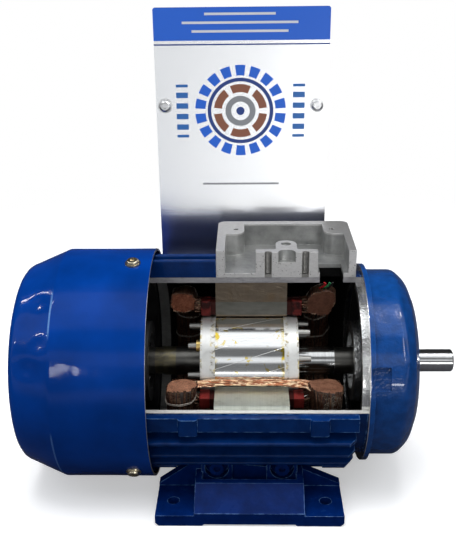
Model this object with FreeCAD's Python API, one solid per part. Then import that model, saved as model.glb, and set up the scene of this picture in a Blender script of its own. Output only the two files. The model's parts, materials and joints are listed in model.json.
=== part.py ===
"""Sectioned three-phase squirrel-cage motor (IEC frame size 71) with its display plate.

Everything is modelled about the shaft axis, which is X here, and is lifted by the shaft height when
it is written, so that the feet stand on z = 0. X runs along the shaft towards the drive end, Z is up
and the window that has been sawn out faces -Y. Angles about the shaft are counted from the top
towards the window: 0 is straight up, 90 points out of the window and 180 straight down.
"""
import FreeCAD, Part
import os
from math import cos, degrees, radians, sin, sqrt

V = FreeCAD.Vector
ORIGIN = V(0, 0, 0)
X_AXIS = V(1, 0, 0)
Y_AXIS = V(0, 1, 0)
Z_AXIS = V(0, 0, 1)

# ---------------------------------------------------------------- driving dimensions, millimetres
FIT_CLEARANCE = 0.05            # radial play between pieces that locate each other
SCREW_CLEARANCE = 0.25          # radial play of a screw in its hole
AIR_GAP = 0.6                   # rotor to stator, radially
BORE_PLAY = 0.1                 # stator core in the frame bore, radially
OVERCUT = 1.0                   # how far a cutting tool stands past a face
JOIN = 1.0                      # how far the walls of one casting run into each other
EDGE_TOLERANCE = 0.1            # for finding an edge by its place
BIG = 400.0                     # larger than the motor, for cutting tools

# main interfaces of the frame size
SHAFT_HEIGHT = 71.0             # shaft axis above the feet
FOOT_HOLES_LONG = 90.0          # foot holes along the shaft
FOOT_HOLES_WIDE = 112.0         # foot holes across the shaft
FOOT_HOLE_RADIUS = 3.5
EXTENSION_RADIUS = 7.0          # shaft extension
EXTENSION_LENGTH = 30.0

# frame housing
FRAME_REAR_X = -64.0
FRAME_DRIVE_X = 67.3
FRAME_BORE_RADIUS = 52.7
FRAME_WALL = 3.4
WINDOW_FLOOR_Z = -4.26          # the frame is sawn level here, below the shaft axis
FIN_THICKNESS = 3.0
FIN_PITCH_ANGLE = 11.0
FIN_TIP_ROUND = 1.2
UPPER_FIN_HEIGHT = 10.9
LOWER_FIN_HEIGHT = 9.4
UPPER_FINS = 8
LOWER_FINS = 5
FIRST_UPPER_FIN_ANGLE = -1.5    # just behind the saw cut
FIN_INSET = 6.0                 # fins stop this far short of the drive-side frame face
FIN_END_CHAMFER = 4.0
PAD_HEIGHT = 4.5                # side pads stand out of the frame wall, front and back
PAD_TOP_Z = -5.2
PAD_BOTTOM_Z = -14.0
PAD_INSET = 5.0
PAD_BOSS_HEIGHT = 2.2           # bosses on the side pads
PAD_BOSS_WIDTH = 11.0
PAD_BOSS_SPACING = 75.0
PAD_BOSS_CENTRE_X = 2.6
PAD_BOSS_DROOP = 1.6            # bosses reach this far below their pad
PAD_BOSS_ROUND = 2.0

# terminal box and its seat on top of the frame
BOX_REAR_X = -19.6
BOX_DRIVE_X = 64.3
BOX_BACK_Y = 55.9
BOX_SEAT_INSET = 1.5            # the seat is this much smaller than the box all round
BOX_SEAT_EDGE = 5.0             # height of the seat's back edge
BOX_SEAT_FOOT_ANGLE = 63.0      # the seat runs down into the frame wall at this angle from the top
BOX_HEIGHT = 17.1
BOX_FLOOR = 2.8
BOX_REAR_WALL = 5.3
BOX_DRIVE_WALL = 4.5
BOX_BACK_WALL = 6.2
BOX_CORNER_ROUND = 5.0
BOX_INNER_ROUND = 2.0
POST_REACH_X = 16.8             # corner posts, measured from the outside of the box
POST_REACH_Y = 25.0
POST_ROUND = 6.0
LID_HOLE_INSET_X = 11.5
LID_HOLE_INSET_Y = 15.8
LID_HOLE_RADIUS = 1.65          # core hole of an M4 thread
LID_HOLE_DEPTH = 11.0
BOARD_BOSS_INSET = 23.8         # boss that carried the terminal board, sawn through
BOARD_BOSS_LENGTH = 37.3
BOARD_BOSS_DEPTH = 5.6
BOARD_BOSS_DROP = 1.0           # top of the boss below the rim
BOARD_HUB_RADIUS = 9.2
BOARD_LOBE_RADIUS = 6.4
BOARD_LOBE_Y = 15.0
BOARD_POCKET_RADIUS = 5.2
BOARD_POCKET_DEPTH = 6.6
BOARD_DIMPLE_RADIUS = 3.0
BOARD_DIMPLE_DEPTH = 1.6
BOARD_SCREW_RADIUS = 1.9
BOARD_SCREW_EDGE = 7.5          # board screws from the ends of the boss
BOARD_SCREW_BOTTOM = 2.0        # blind end of the board screw holes above the box underside
PASSAGE_INSET = 21.6            # cable passage from the box down into the frame
PASSAGE_LENGTH = 14.1
PASSAGE_DEPTH = 15.5
BOX_SCREW_RADIUS = 2.0
BOX_SCREW_HEAD_RADIUS = 3.6
BOX_SCREW_HEAD = 2.4
BOX_SCREW_LENGTH = 7.0
BOX_SCREW_Y = 25.0
BOX_SCREW_SPACING = 22.0

# feet
FOOT_END_EDGE = 9.9             # foot holes from the ends of the foot
FOOT_FRONT_EDGE = 14.5          # foot holes from the outer edge of the foot
FOOT_WEB_BEHIND_HOLES = 15.0    # outer face of the web from the foot holes
FOOT_PAD_THICKNESS = 7.0
FOOT_WEB_THICKNESS = 6.0
FOOT_BLOCK_FROM_HOLES = 13.0    # ends of the block from the foot holes
FOOT_BLOCK_HEIGHT = 12.0
FOOT_BLOCK_SLOPE = 15.0         # the block's face leans in by this much
FOOT_BLOCK_LIP = 1.5            # the slope starts this far above the pads
FOOT_BLOCK_WALL = 4.0           # walls round the pocket behind the slope, where the screws are reached
FOOT_POCKET_FLOOR = 3.5         # above the pads
FOOT_RELIEF = 1.0               # hollow under the middle of the foot
FOOT_RELIEF_FROM_HOLES = 17.5
FOOT_CHAMFER = 2.0
FOOT_EAR_WIDTH = 18.3
FOOT_EAR_SPACING = 39.2
FOOT_EAR_PROUD = 3.2            # ears stand out of the web by this much
FOOT_EAR_DROP = 0.4             # top of the ears below the frame wall
FOOT_EAR_HEIGHT = 13.4
FOOT_WEB_REAR_HEIGHT = 17.4     # the web's top edge above the pads, towards the cowl
FOOT_WEB_DRIVE_HEIGHT = 11.7    # and towards the drive end
FOOT_WEB_END_HEIGHT = 1.5
FOOT_WEB_SHOULDER = 12.0        # the top edge starts to fall this far inside the foot holes
LUG_DEPTH = 12.0                # frame lugs behind the foot webs
FOOT_SEAT_HALF_LENGTH = 44.0    # fins are cleared this far each way where a foot stands
FOOT_SEAT_GAP = 0.3             # between the cleared fins and the web

# socket-head screws that hold the feet
FOOT_SCREW_DROP = 5.2           # below the top of the ear
FOOT_SCREW_RADIUS = 2.5
FOOT_SCREW_HEAD_RADIUS = 4.25
FOOT_SCREW_HEAD = 5.0
FOOT_SCREW_SOCKET = 4.0
FOOT_SCREW_GRIP = 7.0           # thread held in the frame lug
FOOT_WASHER_RADIUS = 5.6
FOOT_WASHER_THICKNESS = 1.0
FOOT_COUNTERBORE_RADIUS = 7.2
FOOT_COUNTERBORE_DEPTH = 4.5
SOCKET_DEPTH_SHARE = 0.6        # depth of a hex socket as a share of its screw head

# end shields
SPIGOT_LENGTH = 3.2
SPIGOT_WALL = 4.5
FLANGE_PROUD = 4.5              # flanges stand out of the frame wall by this much
FLANGE_THICKNESS = 3.1
FLANGE_STEP = 3.6               # flange radius down to the shield body
SHIELD_STRAIGHT = 15.0          # straight part of the drive shield behind its flange
SHIELD_DEPTH = 28.0             # flange to outer face
SHIELD_SHOULDER = 17.0          # radius lost over the rounded shoulder
SHOULDER_SHARES = ((0.0, 0.0), (0.415, 0.153), (0.738, 0.441), (0.923, 0.788), (1.0, 1.0))
SHIELD_WALL = 3.6
HUB_RADIUS = 25.0
DRIVE_HUB_LIP = 3.0             # the hubs reach past their bearings into the motor
REAR_HUB_LIP = 2.0
HUB_BACK = 4.4                  # wall of the rear hub behind the spring washer
HUB_BORE_RADIUS = 11.0          # hole through the hub for the shaft
SEAL_POCKET_RADIUS = 13.0
SEAL_POCKET_DEPTH = 6.5
SEAL_WALL = 2.0
REAR_SHIELD_WALL = 4.0
REAR_SHIELD_DEPTH = 11.0
SHIELD_RIBS = 6
SHIELD_RIB_THICKNESS = 3.0
SHIELD_RIB_SETBACK = 8.0        # ribs start this far behind the hub's inner end
SHIELD_RIB_RISE = 2.0           # ribs reach past the flat face into the shoulder

# tie bolts: three places, the one in the window was sawn away with the frame
TIE_RADIUS = 2.5
TIE_GAP = 0.6                   # between a bolt and the frame wall
TIE_ANGLES = (193.0, 313.0)
TIE_LOST_ANGLE = 73.0
TIE_EAR_RADIUS = 5.5
TIE_HEAD_RADIUS = 4.2
TIE_HEAD = 3.5
TIE_SOCKET = 4.0
TIE_NUT_THICKNESS = 4.0
TIE_TAIL = 1.0                  # bolt end past its nut
TIE_RECESS_LENGTH = 9.3
TIE_RECESS_HALF_WIDTH = 6.7
TIE_RECESS_GAP = 0.4            # recess floor under the bolt head
LOST_EAR_STUB = 1.0             # what the saw left of the third ear

# fan cowl
COWL_FIN_GAP = 1.9              # inside of the cowl from the fin tips
COWL_SHEET = 1.5
COWL_RIM_OVERLAP = 7.0          # the rim reaches over the frame by this much
COWL_STRAIGHT = 54.0            # rim to crease
COWL_CONE_LENGTH = 23.0
COWL_CONE_DROP = 10.2           # radius lost over the cone
COWL_END_ROUND = 2.6
GRILLE_SPACING = 11.0           # rings of slots in the end of the cowl
GRILLE_FIRST_RADIUS = 14.0
GRILLE_RINGS = 4
GRILLE_SLOT_WIDTH = 5.0
GRILLE_SLOTS = 4
GRILLE_BRIDGE = 6.0             # metal left between two slots of one ring
COWL_SCREW_BEHIND_FRAME = 4.0
COWL_SCREW_ANGLES = (9.0, 129.0, 249.0)
COWL_SCREW_RADIUS = 2.0
COWL_SCREW_HEAD_RADIUS = 3.6
COWL_SCREW_HEAD = 1.9
COWL_SCREW_HEAD_ROUND = 1.1
COWL_SCREW_SOCKET = 3.0
COWL_SCREW_LENGTH = 8.0
COWL_WASHER_RADIUS = 4.5
COWL_WASHER_THICKNESS = 0.8
COWL_LUG_WIDTH = 12.0
COWL_LUG_ROOT = 8.0             # lugs for the cowl screws start this far inside the flange step

# bearings, type 6202
DRIVE_BEARING_SETBACK = 1.3     # inner face of the drive bearing inside the frame face
REAR_BEARING_SETBACK = 1.0
BEARING_BORE_RADIUS = 7.5
BEARING_OUTER_RADIUS = 17.5
BEARING_WIDTH = 11.0
BEARING_BALLS = 8
BALL_RADIUS = 2.98
RACE_PLAY = 0.11                # ball to groove
RACE_LIP = 1.6                  # shoulders of the rings stand this far from the ball circle
CAGE_WALL = 2.0
CAGE_WIDTH = 8.0
CAGE_PLAY = 0.15
WAVE_WASHER_THICKNESS = 0.5
WAVE_WASHER_SPACE = 1.6
WAVE_WASHER_WIDTH = 3.0

# shaft
SHAFT_BODY_RADIUS = 8.9
SHAFT_BODY_FROM_BEARING = 10.0  # the thick middle ends this far before the rear bearing
SHAFT_NECK = 13.0               # and this far before the drive bearing
SHAFT_SHOULDER_RADIUS = 8.3
EXTENSION_SETBACK = 2.2         # the extension begins just inside the shield face
FAN_SEAT_RADIUS = 6.5
REAR_JOURNAL_REACH = 2.0        # the rear journal reaches out of its hub
SHAFT_TAIL = 10.0               # shaft end past the fan hub
SHAFT_CHAMFER = 0.8
KEYWAY_WIDTH = 5.0
KEYWAY_LENGTH = 20.0
KEYWAY_DEPTH = 3.0
KEYWAY_FROM_END = 5.0
KEYWAY_ANGLE = 225.0            # the keyway lies on the far side, low down

# fan
FAN_HUB_GAP = 8.0               # fan from the rear hub
FAN_HUB_RADIUS = 14.0
FAN_HUB_LENGTH = 16.0
FAN_TIP_GAP = 11.9              # fan to the inside of the cowl
FAN_DISC_THICKNESS = 2.2
FAN_BLADES = 8
FAN_BLADE_THICKNESS = 1.8
FAN_BLADE_DEPTH = 17.0
FAN_BLADE_ROOT_RADIUS = 22.0
FAN_BLADE_FOOT = 2.0            # blades meet the hub this far from its end
CIRCLIP_THICKNESS = 1.0
CIRCLIP_RADIUS = 9.0
CIRCLIP_GROOVE = 0.6
CIRCLIP_GAP = 5.0

# rotor
ROTOR_RADIUS = 29.8
ROTOR_SETBACK = 2.1             # rotor core short of the stator core at the drive end
END_RING_REAR = 8.9             # lengths of the two cast rings
END_RING_DRIVE = 8.5
END_RING_DEPTH = 13.8           # radially
ROTOR_BARS = 16
BAR_COVER = 1.1                 # iron over the bars
BAR_DEPTH = 4.7
BAR_HALF_WIDTH = 1.7
BAR_SKEW = 25.2                 # degrees over the length of the core
STUDS = 8
STUD_RADIUS = 2.2
STUD_LENGTH = 7.5
STUD_INSET = 6.8                # studs from the rim of the ring
STUD_REAR_ANGLE = 40.0
STUD_DRIVE_ANGLE = 15.0
STUD_DRAFT = 0.4
BALANCE_WASHER_RADIUS = 3.6
BALANCE_WASHER_THICKNESS = 2.5

# stator
STATOR_REAR_X = -20.2
STATOR_DRIVE_X = 23.2
STATOR_CUT_Z = -1.5             # lower saw cut through the core, a little below the shaft axis
SLOTS = 24
FIRST_SLOT_ANGLE = -4.0         # the top slot stands just behind the upper saw cut
LOOSE_SLOT = 6                  # its iron was sawn away, some of its wires were left
SLOT_LIP = 1.0                  # iron between the bore and the slots
SLOT_DEPTH = 8.6
SLOT_ANGLE = 9.0                # width of a slot
SLOT_MOUTH_ANGLE = 4.0
LINER = 0.35
LINER_OVERHANG = 3.0
SIDE_CLEARANCE = 0.25           # coil side in its liner

# end windings: thick rings of wire, sawn off at the window
WINDING_DROP = 0.5              # the rings come this far inside the stator bore
WINDING_FRAME_GAP = 4.7
DRIVE_OVERHANG = 9.8            # core to ring
DRIVE_WINDING_WIDTH = 22.0
REAR_OVERHANG = 10.8
REAR_WINDING_WIDTH = 18.0
WINDING_ROUND = 6.5
WINDING_CUT_ANGLE = 85.0        # lower sawn face, above the shaft axis
LOOSE_WIRE_DROP = 0.4           # wires of the sawn slot lie this far inside its mouth
LOOSE_WIRE_DEPTH = 3.4
LOOSE_WIRE_ANGLE = 7.2
SLEEVE_WALL = 0.8
SLEEVE_LENGTH = 6.0
LACE_THICKNESS = 0.9
LACE_ANGLE = 2.2
LACE_STEP_SLOTS = 2             # one turn of cord every so many slots
LEADS = 3
LEAD_RADIUS = 0.9
LEAD_INSET = 3.3                # first lead from the end of the passage
LEAD_PITCH = 2.6
LEAD_Y = 4.0
LEAD_ROOT = 4.0                 # leads start this deep in the winding
LEAD_TOP_GAP = 1.1              # cut ends below the top of the frame

# display plate and what holds it
DISPLAY_REAR_X = -59.0
DISPLAY_DRIVE_X = 51.0
DISPLAY_BOTTOM_Z = 14.0
DISPLAY_HEIGHT = 193.0
DISPLAY_COWL_GAP = 1.0          # the plate stands just clear of the cowl
DISPLAY_THICKNESS = 1.5
DISPLAY_CORNER = 1.5
BRACKET_THICKNESS = 3.0
BRACKET_INSET = 2.5
BRACKET_TOP_DROP = 51.0         # top of the bracket below the top of the plate
BRACKET_LEG_END = 7.4           # legs reach this far below their screws
BRACKET_LEG_HALF_WIDTH = 9.0
BRACKET_SHOULDER = 3.0          # the full width starts this far below the plate
BRACKET_CORNER = 6.0
DISPLAY_SCREW_DROP = 60.5       # plate screws below the top of the plate
DISPLAY_SCREW_REAR_EDGE = 5.8
DISPLAY_SCREW_DRIVE_EDGE = 7.1
DISPLAY_SCREW_RADIUS = 2.0
DISPLAY_SCREW_HEAD_RADIUS = 3.8
DISPLAY_SCREW_HEAD = 2.2
DISPLAY_SCREW_HEAD_ROUND = 1.7
DISPLAY_SCREW_FLANGE_RADIUS = 4.7
DISPLAY_SCREW_FLANGE = 0.8
DISPLAY_SCREW_SOCKET = 2.5
DISPLAY_SCREW_TAIL = 1.0        # screw end past its nut
DISPLAY_NUT_WIDTH = 7.0
DISPLAY_NUT_THICKNESS = 3.2
SPACER_RADIUS = 6.0
BRACKET_SCREW_RADIUS = 3.0
BRACKET_SCREW_HEAD_WIDTH = 10.0
BRACKET_SCREW_HEAD = 4.0
BRACKET_SCREW_GRIP = 5.0

# ---------------------------------------------------------------- values that follow from them
FRAME_WALL_RADIUS = FRAME_BORE_RADIUS + FRAME_WALL
FRAME_LENGTH = FRAME_DRIVE_X - FRAME_REAR_X
UPPER_FIN_TIP_RADIUS = FRAME_WALL_RADIUS + UPPER_FIN_HEIGHT
LOWER_FIN_TIP_RADIUS = FRAME_WALL_RADIUS + LOWER_FIN_HEIGHT
PAD_FACE_Y = FRAME_WALL_RADIUS + PAD_HEIGHT
PAD_BOSS_FACE_Y = PAD_FACE_Y + PAD_BOSS_HEIGHT
PAD_Z = (PAD_TOP_Z + PAD_BOTTOM_Z) / 2
PAD_BOSS_XS = tuple(PAD_BOSS_CENTRE_X + side * PAD_BOSS_SPACING / 2 for side in (-1, 1))

BOX_SEAT_Z = FRAME_WALL_RADIUS  # the seat is level with the top of the frame wall
BOX_RIM_Z = BOX_SEAT_Z + BOX_HEIGHT
BOX_FLOOR_Z = BOX_SEAT_Z + BOX_FLOOR
BOARD_BOSS_TOP_Z = BOX_RIM_Z - BOARD_BOSS_DROP
BOARD_BOSS_REAR_X = BOX_REAR_X + BOARD_BOSS_INSET
BOARD_BOSS_DRIVE_X = BOARD_BOSS_REAR_X + BOARD_BOSS_LENGTH
BOARD_BOSS_X = (BOARD_BOSS_REAR_X + BOARD_BOSS_DRIVE_X) / 2
PASSAGE_REAR_X = BOX_DRIVE_X - PASSAGE_INSET
BOX_SCREW_XS = tuple(BOARD_BOSS_X + side * BOX_SCREW_SPACING / 2 for side in (-1, 1))

TIE_CIRCLE_RADIUS = FRAME_WALL_RADIUS + TIE_GAP + TIE_RADIUS
TIE_RECESS_RADIUS = TIE_CIRCLE_RADIUS - TIE_HEAD_RADIUS - TIE_RECESS_GAP
SPIGOT_RADIUS = FRAME_BORE_RADIUS - FIT_CLEARANCE
FLANGE_RADIUS = FRAME_WALL_RADIUS + FLANGE_PROUD
SHIELD_BODY_RADIUS = FLANGE_RADIUS - FLANGE_STEP
SHIELD_FACE_RADIUS = SHIELD_BODY_RADIUS - SHIELD_SHOULDER
FLANGE_END_X = FRAME_DRIVE_X + FLANGE_THICKNESS
REAR_FLANGE_END_X = FRAME_REAR_X - FLANGE_THICKNESS
SHIELD_FACE_X = FLANGE_END_X + SHIELD_DEPTH

COWL_SEAT_RADIUS = UPPER_FIN_TIP_RADIUS + COWL_FIN_GAP
COWL_RADIUS = COWL_SEAT_RADIUS + COWL_SHEET
COWL_RIM_X = FRAME_REAR_X + COWL_RIM_OVERLAP
COWL_CREASE_X = COWL_RIM_X - COWL_STRAIGHT
COWL_CONE_END_X = COWL_CREASE_X - COWL_CONE_LENGTH
COWL_CONE_END_RADIUS = COWL_RADIUS - COWL_CONE_DROP
COWL_END_X = COWL_CONE_END_X - COWL_END_ROUND
COWL_SCREW_X = FRAME_REAR_X - COWL_SCREW_BEHIND_FRAME
GRILLE_RING_RADII = tuple(GRILLE_FIRST_RADIUS + step * GRILLE_SPACING for step in range(GRILLE_RINGS))

BALL_CIRCLE_RADIUS = (BEARING_BORE_RADIUS + BEARING_OUTER_RADIUS) / 2
DRIVE_BEARING_X = FRAME_DRIVE_X - DRIVE_BEARING_SETBACK
REAR_BEARING_X = FRAME_REAR_X + REAR_BEARING_SETBACK
HUB_INNER_X = DRIVE_BEARING_X - DRIVE_HUB_LIP
REAR_HUB_INNER_X = REAR_BEARING_X + REAR_HUB_LIP
REAR_POCKET_END_X = REAR_BEARING_X - BEARING_WIDTH - WAVE_WASHER_SPACE
REAR_HUB_END_X = REAR_POCKET_END_X - HUB_BACK

SHAFT_SHOULDER_X = SHIELD_FACE_X - EXTENSION_SETBACK
SHAFT_END_X = SHAFT_SHOULDER_X + EXTENSION_LENGTH
SHAFT_BODY_REAR_X = REAR_BEARING_X + SHAFT_BODY_FROM_BEARING
SHAFT_BODY_DRIVE_X = DRIVE_BEARING_X - SHAFT_NECK
FAN_SEAT_X = REAR_HUB_END_X - FAN_HUB_GAP
FAN_HUB_END_X = FAN_SEAT_X - FAN_HUB_LENGTH
SHAFT_TAIL_X = FAN_HUB_END_X - SHAFT_TAIL
FAN_RADIUS = COWL_SEAT_RADIUS - FAN_TIP_GAP

ROTOR_REAR_X = STATOR_REAR_X
ROTOR_DRIVE_X = STATOR_DRIVE_X - ROTOR_SETBACK
END_RING_BORE_RADIUS = ROTOR_RADIUS - END_RING_DEPTH
BAR_OUTER_RADIUS = ROTOR_RADIUS - BAR_COVER
BAR_INNER_RADIUS = BAR_OUTER_RADIUS - BAR_DEPTH
STUD_CIRCLE_RADIUS = ROTOR_RADIUS - STUD_INSET
STATOR_RADIUS = FRAME_BORE_RADIUS - BORE_PLAY
STATOR_BORE_RADIUS = ROTOR_RADIUS + AIR_GAP
SLOT_TOP_RADIUS = STATOR_BORE_RADIUS + SLOT_LIP
SLOT_BOTTOM_RADIUS = SLOT_TOP_RADIUS + SLOT_DEPTH
WINDING_INNER_RADIUS = STATOR_BORE_RADIUS - WINDING_DROP
WINDING_OUTER_RADIUS = FRAME_BORE_RADIUS - WINDING_FRAME_GAP
DRIVE_WINDING_X = STATOR_DRIVE_X + DRIVE_OVERHANG
REAR_WINDING_X = STATOR_REAR_X - REAR_OVERHANG
LEAD_TOP_Z = BOX_SEAT_Z - LEAD_TOP_GAP

FOOT_HALF_LENGTH = FOOT_HOLES_LONG / 2 + FOOT_END_EDGE
FOOT_BLOCK_HALF_LENGTH = FOOT_HOLES_LONG / 2 - FOOT_BLOCK_FROM_HOLES
FOOT_RELIEF_HALF_LENGTH = FOOT_HOLES_LONG / 2 - FOOT_RELIEF_FROM_HOLES
FOOT_WEB_SHOULDER_X = FOOT_HOLES_LONG / 2 - FOOT_WEB_SHOULDER
FOOT_FRONT_Y = FOOT_HOLES_WIDE / 2 + FOOT_FRONT_EDGE
FOOT_WEB_OUTER_Y = FOOT_HOLES_WIDE / 2 - FOOT_WEB_BEHIND_HOLES
FOOT_WEB_INNER_Y = FOOT_WEB_OUTER_Y - FOOT_WEB_THICKNESS
FOOT_EAR_FACE_Y = FOOT_WEB_OUTER_Y + FOOT_EAR_PROUD
FOOT_PAD_TOP_Z = FOOT_PAD_THICKNESS - SHAFT_HEIGHT
FOOT_SEAT_TOP_Z = FOOT_PAD_TOP_Z + FOOT_WEB_REAR_HEIGHT + FOOT_SEAT_GAP
FOOT_EAR_TOP_Z = -sqrt(FRAME_WALL_RADIUS ** 2 - FOOT_WEB_INNER_Y ** 2) - FOOT_EAR_DROP
FOOT_EAR_BOTTOM_Z = FOOT_EAR_TOP_Z - FOOT_EAR_HEIGHT
FOOT_SCREW_Z = FOOT_EAR_TOP_Z - FOOT_SCREW_DROP
FOOT_EAR_XS = tuple(side * FOOT_EAR_SPACING / 2 for side in (-1, 1))

DISPLAY_Y = sqrt(COWL_RADIUS ** 2 - DISPLAY_BOTTOM_Z ** 2) + DISPLAY_COWL_GAP
DISPLAY_TOP_Z = DISPLAY_BOTTOM_Z + DISPLAY_HEIGHT
DISPLAY_SCREW_Z = DISPLAY_TOP_Z - DISPLAY_SCREW_DROP
DISPLAY_SCREW_XS = (DISPLAY_REAR_X + DISPLAY_SCREW_REAR_EDGE, DISPLAY_DRIVE_X - DISPLAY_SCREW_DRIVE_EDGE)
BRACKET_Y = DISPLAY_Y + DISPLAY_THICKNESS
BRACKET_BACK_Y = BRACKET_Y + BRACKET_THICKNESS
BRACKET_TOP_Z = DISPLAY_TOP_Z - BRACKET_TOP_DROP
BRACKET_BOTTOM_Z = PAD_Z - BRACKET_LEG_END


# ---------------------------------------------------------------- shapes used over and over
def box(x0, x1, y0, y1, z0, z1):
    """Block between two opposite corners."""
    return Part.makeBox(x1 - x0, y1 - y0, z1 - z0, V(x0, y0, z0))


def cylinder(radius, start, end):
    """Round bar between two points."""
    return Part.makeCylinder(radius, (end - start).Length, start, end - start)


def disc_x(radius, x0, x1):
    """Round bar about the shaft axis."""
    return cylinder(radius, V(x0, 0, 0), V(x1, 0, 0))


def ring_x(outer, inner, x0, x1):
    """Tube about the shaft axis."""
    return disc_x(outer, x0, x1).cut(disc_x(inner, x0 - OVERCUT, x1 + OVERCUT))


def prism(points, direction):
    """Extrude a closed polygon."""
    return Part.Face(Part.makePolygon(points + points[:1])).extrude(direction)


def about_shaft(shape, angle):
    """Turn a piece made at the top of the motor to an angle counted towards the window."""
    turned = shape.copy()
    turned.rotate(ORIGIN, X_AXIS, angle)
    return turned


def spun(profile, start_angle, sweep):
    """Revolve a closed profile of (x, radius) points about the shaft axis."""
    points = [V(x, 0, r) for x, r in profile]
    face = Part.Face(Part.makePolygon(points + points[:1]))
    return about_shaft(face.revolve(ORIGIN, X_AXIS, sweep), start_angle)


def sector(inner, outer, x0, x1, middle, width):
    """Piece of a ring, centred on one angle."""
    profile = [(x0, inner), (x1, inner), (x1, outer), (x0, outer)]
    return spun(profile, middle - width / 2, width)


def mirrored_front_to_back(shape):
    """The same piece on the other side of the shaft."""
    return shape.mirror(ORIGIN, Y_AXIS)


def hexagon_bar(width_across_flats, start, direction):
    """Six-sided bar, used for nuts, bolt heads and hex sockets."""
    axis = V(direction).normalize()
    side = Z_AXIS if abs(axis.z) < 0.9 else X_AXIS
    across = axis.cross(side).normalize()
    up = across.cross(axis)
    reach = width_across_flats / 2 / cos(radians(30))
    corners = []
    for step in range(6):
        turn = radians(60 * step)
        corners.append(start + across * (reach * cos(turn)) + up * (reach * sin(turn)))
    return prism(corners, direction)


def screw(seat, outward, shank_radius, shank_length, head_radius, head_height, socket):
    """Cap screw: shank into the work, head outside, hex socket in the head."""
    way = V(outward).normalize()
    shank = cylinder(shank_radius, seat - way * shank_length, seat)
    head = cylinder(head_radius, seat, seat + way * head_height)
    body = shank.fuse(head)
    depth = head_height * SOCKET_DEPTH_SHARE
    return body.cut(hexagon_bar(socket, seat + way * (head_height - depth), way * (depth + OVERCUT)))


def washer(seat, outward, outer, inner, thickness):
    """Flat washer lying on a seat."""
    way = V(outward).normalize()
    ring = cylinder(outer, seat, seat + way * thickness)
    return ring.cut(cylinder(inner, seat - way * OVERCUT, seat + way * (thickness + OVERCUT)))


def tie_point(x, angle):
    """Point on the axis of one tie bolt."""
    return V(x, -TIE_CIRCLE_RADIUS * sin(radians(angle)), TIE_CIRCLE_RADIUS * cos(radians(angle)))


def along_tie(radius, angle, x0, x1):
    """Round bar on the axis of one tie bolt."""
    return cylinder(radius, tie_point(x0, angle), tie_point(x1, angle))


# ---------------------------------------------------------------- frame housing
def near_tie_bolt(angle):
    """True where a fin would foul a tie bolt."""
    reach = degrees((TIE_RADIUS + FIN_THICKNESS / 2 + SCREW_CLEARANCE) / TIE_CIRCLE_RADIUS)
    return any(abs((angle - tie + 180) % 360 - 180) < reach for tie in TIE_ANGLES)


def fin(angle, tip_radius):
    """One cooling rib along the frame with a rounded tip and a sloping drive end."""
    x0 = FRAME_REAR_X
    x1 = FRAME_DRIVE_X - FIN_INSET
    root = FRAME_WALL_RADIUS - FRAME_WALL / 2
    half = FIN_THICKNESS / 2
    outline = [V(x0, -half, root), V(x1, -half, root), V(x1, -half, tip_radius - FIN_END_CHAMFER),
               V(x1 - FIN_END_CHAMFER, -half, tip_radius), V(x0, -half, tip_radius)]
    rib = prism(outline, V(0, FIN_THICKNESS, 0))
    tips = [e for e in rib.Edges if e.Length > FRAME_LENGTH / 2 and e.CenterOfMass.z > tip_radius - half]
    return about_shaft(rib.makeFillet(FIN_TIP_ROUND, tips), angle)


def side_pad():
    """Machining pad along the front of the frame with two rounded bosses."""
    inside = FRAME_WALL_RADIUS - FRAME_WALL
    pad = box(FRAME_REAR_X, FRAME_DRIVE_X - PAD_INSET, -PAD_FACE_Y, -inside, PAD_BOTTOM_Z, PAD_TOP_Z)
    pieces = [pad]
    for x in PAD_BOSS_XS:
        half = PAD_BOSS_WIDTH / 2
        boss = box(x - half, x + half, -PAD_BOSS_FACE_Y, -inside, PAD_BOTTOM_Z - PAD_BOSS_DROOP, PAD_TOP_Z)
        edges = [e for e in boss.Edges
                 if e.CenterOfMass.y < -PAD_FACE_Y and abs(e.CenterOfMass.x - x) > half - EDGE_TOLERANCE]
        pieces.append(boss.makeFillet(PAD_BOSS_ROUND, edges))
    return pieces


def foot_lug(x):
    """Block under the frame that one foot screw goes into."""
    half = FOOT_EAR_WIDTH / 2
    top = -sqrt(FRAME_WALL_RADIUS ** 2 - FOOT_WEB_INNER_Y ** 2)
    return box(x - half, x + half, -FOOT_WEB_INNER_Y, LUG_DEPTH - FOOT_WEB_INNER_Y, FOOT_EAR_BOTTOM_Z,
               top + FRAME_WALL)


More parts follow.
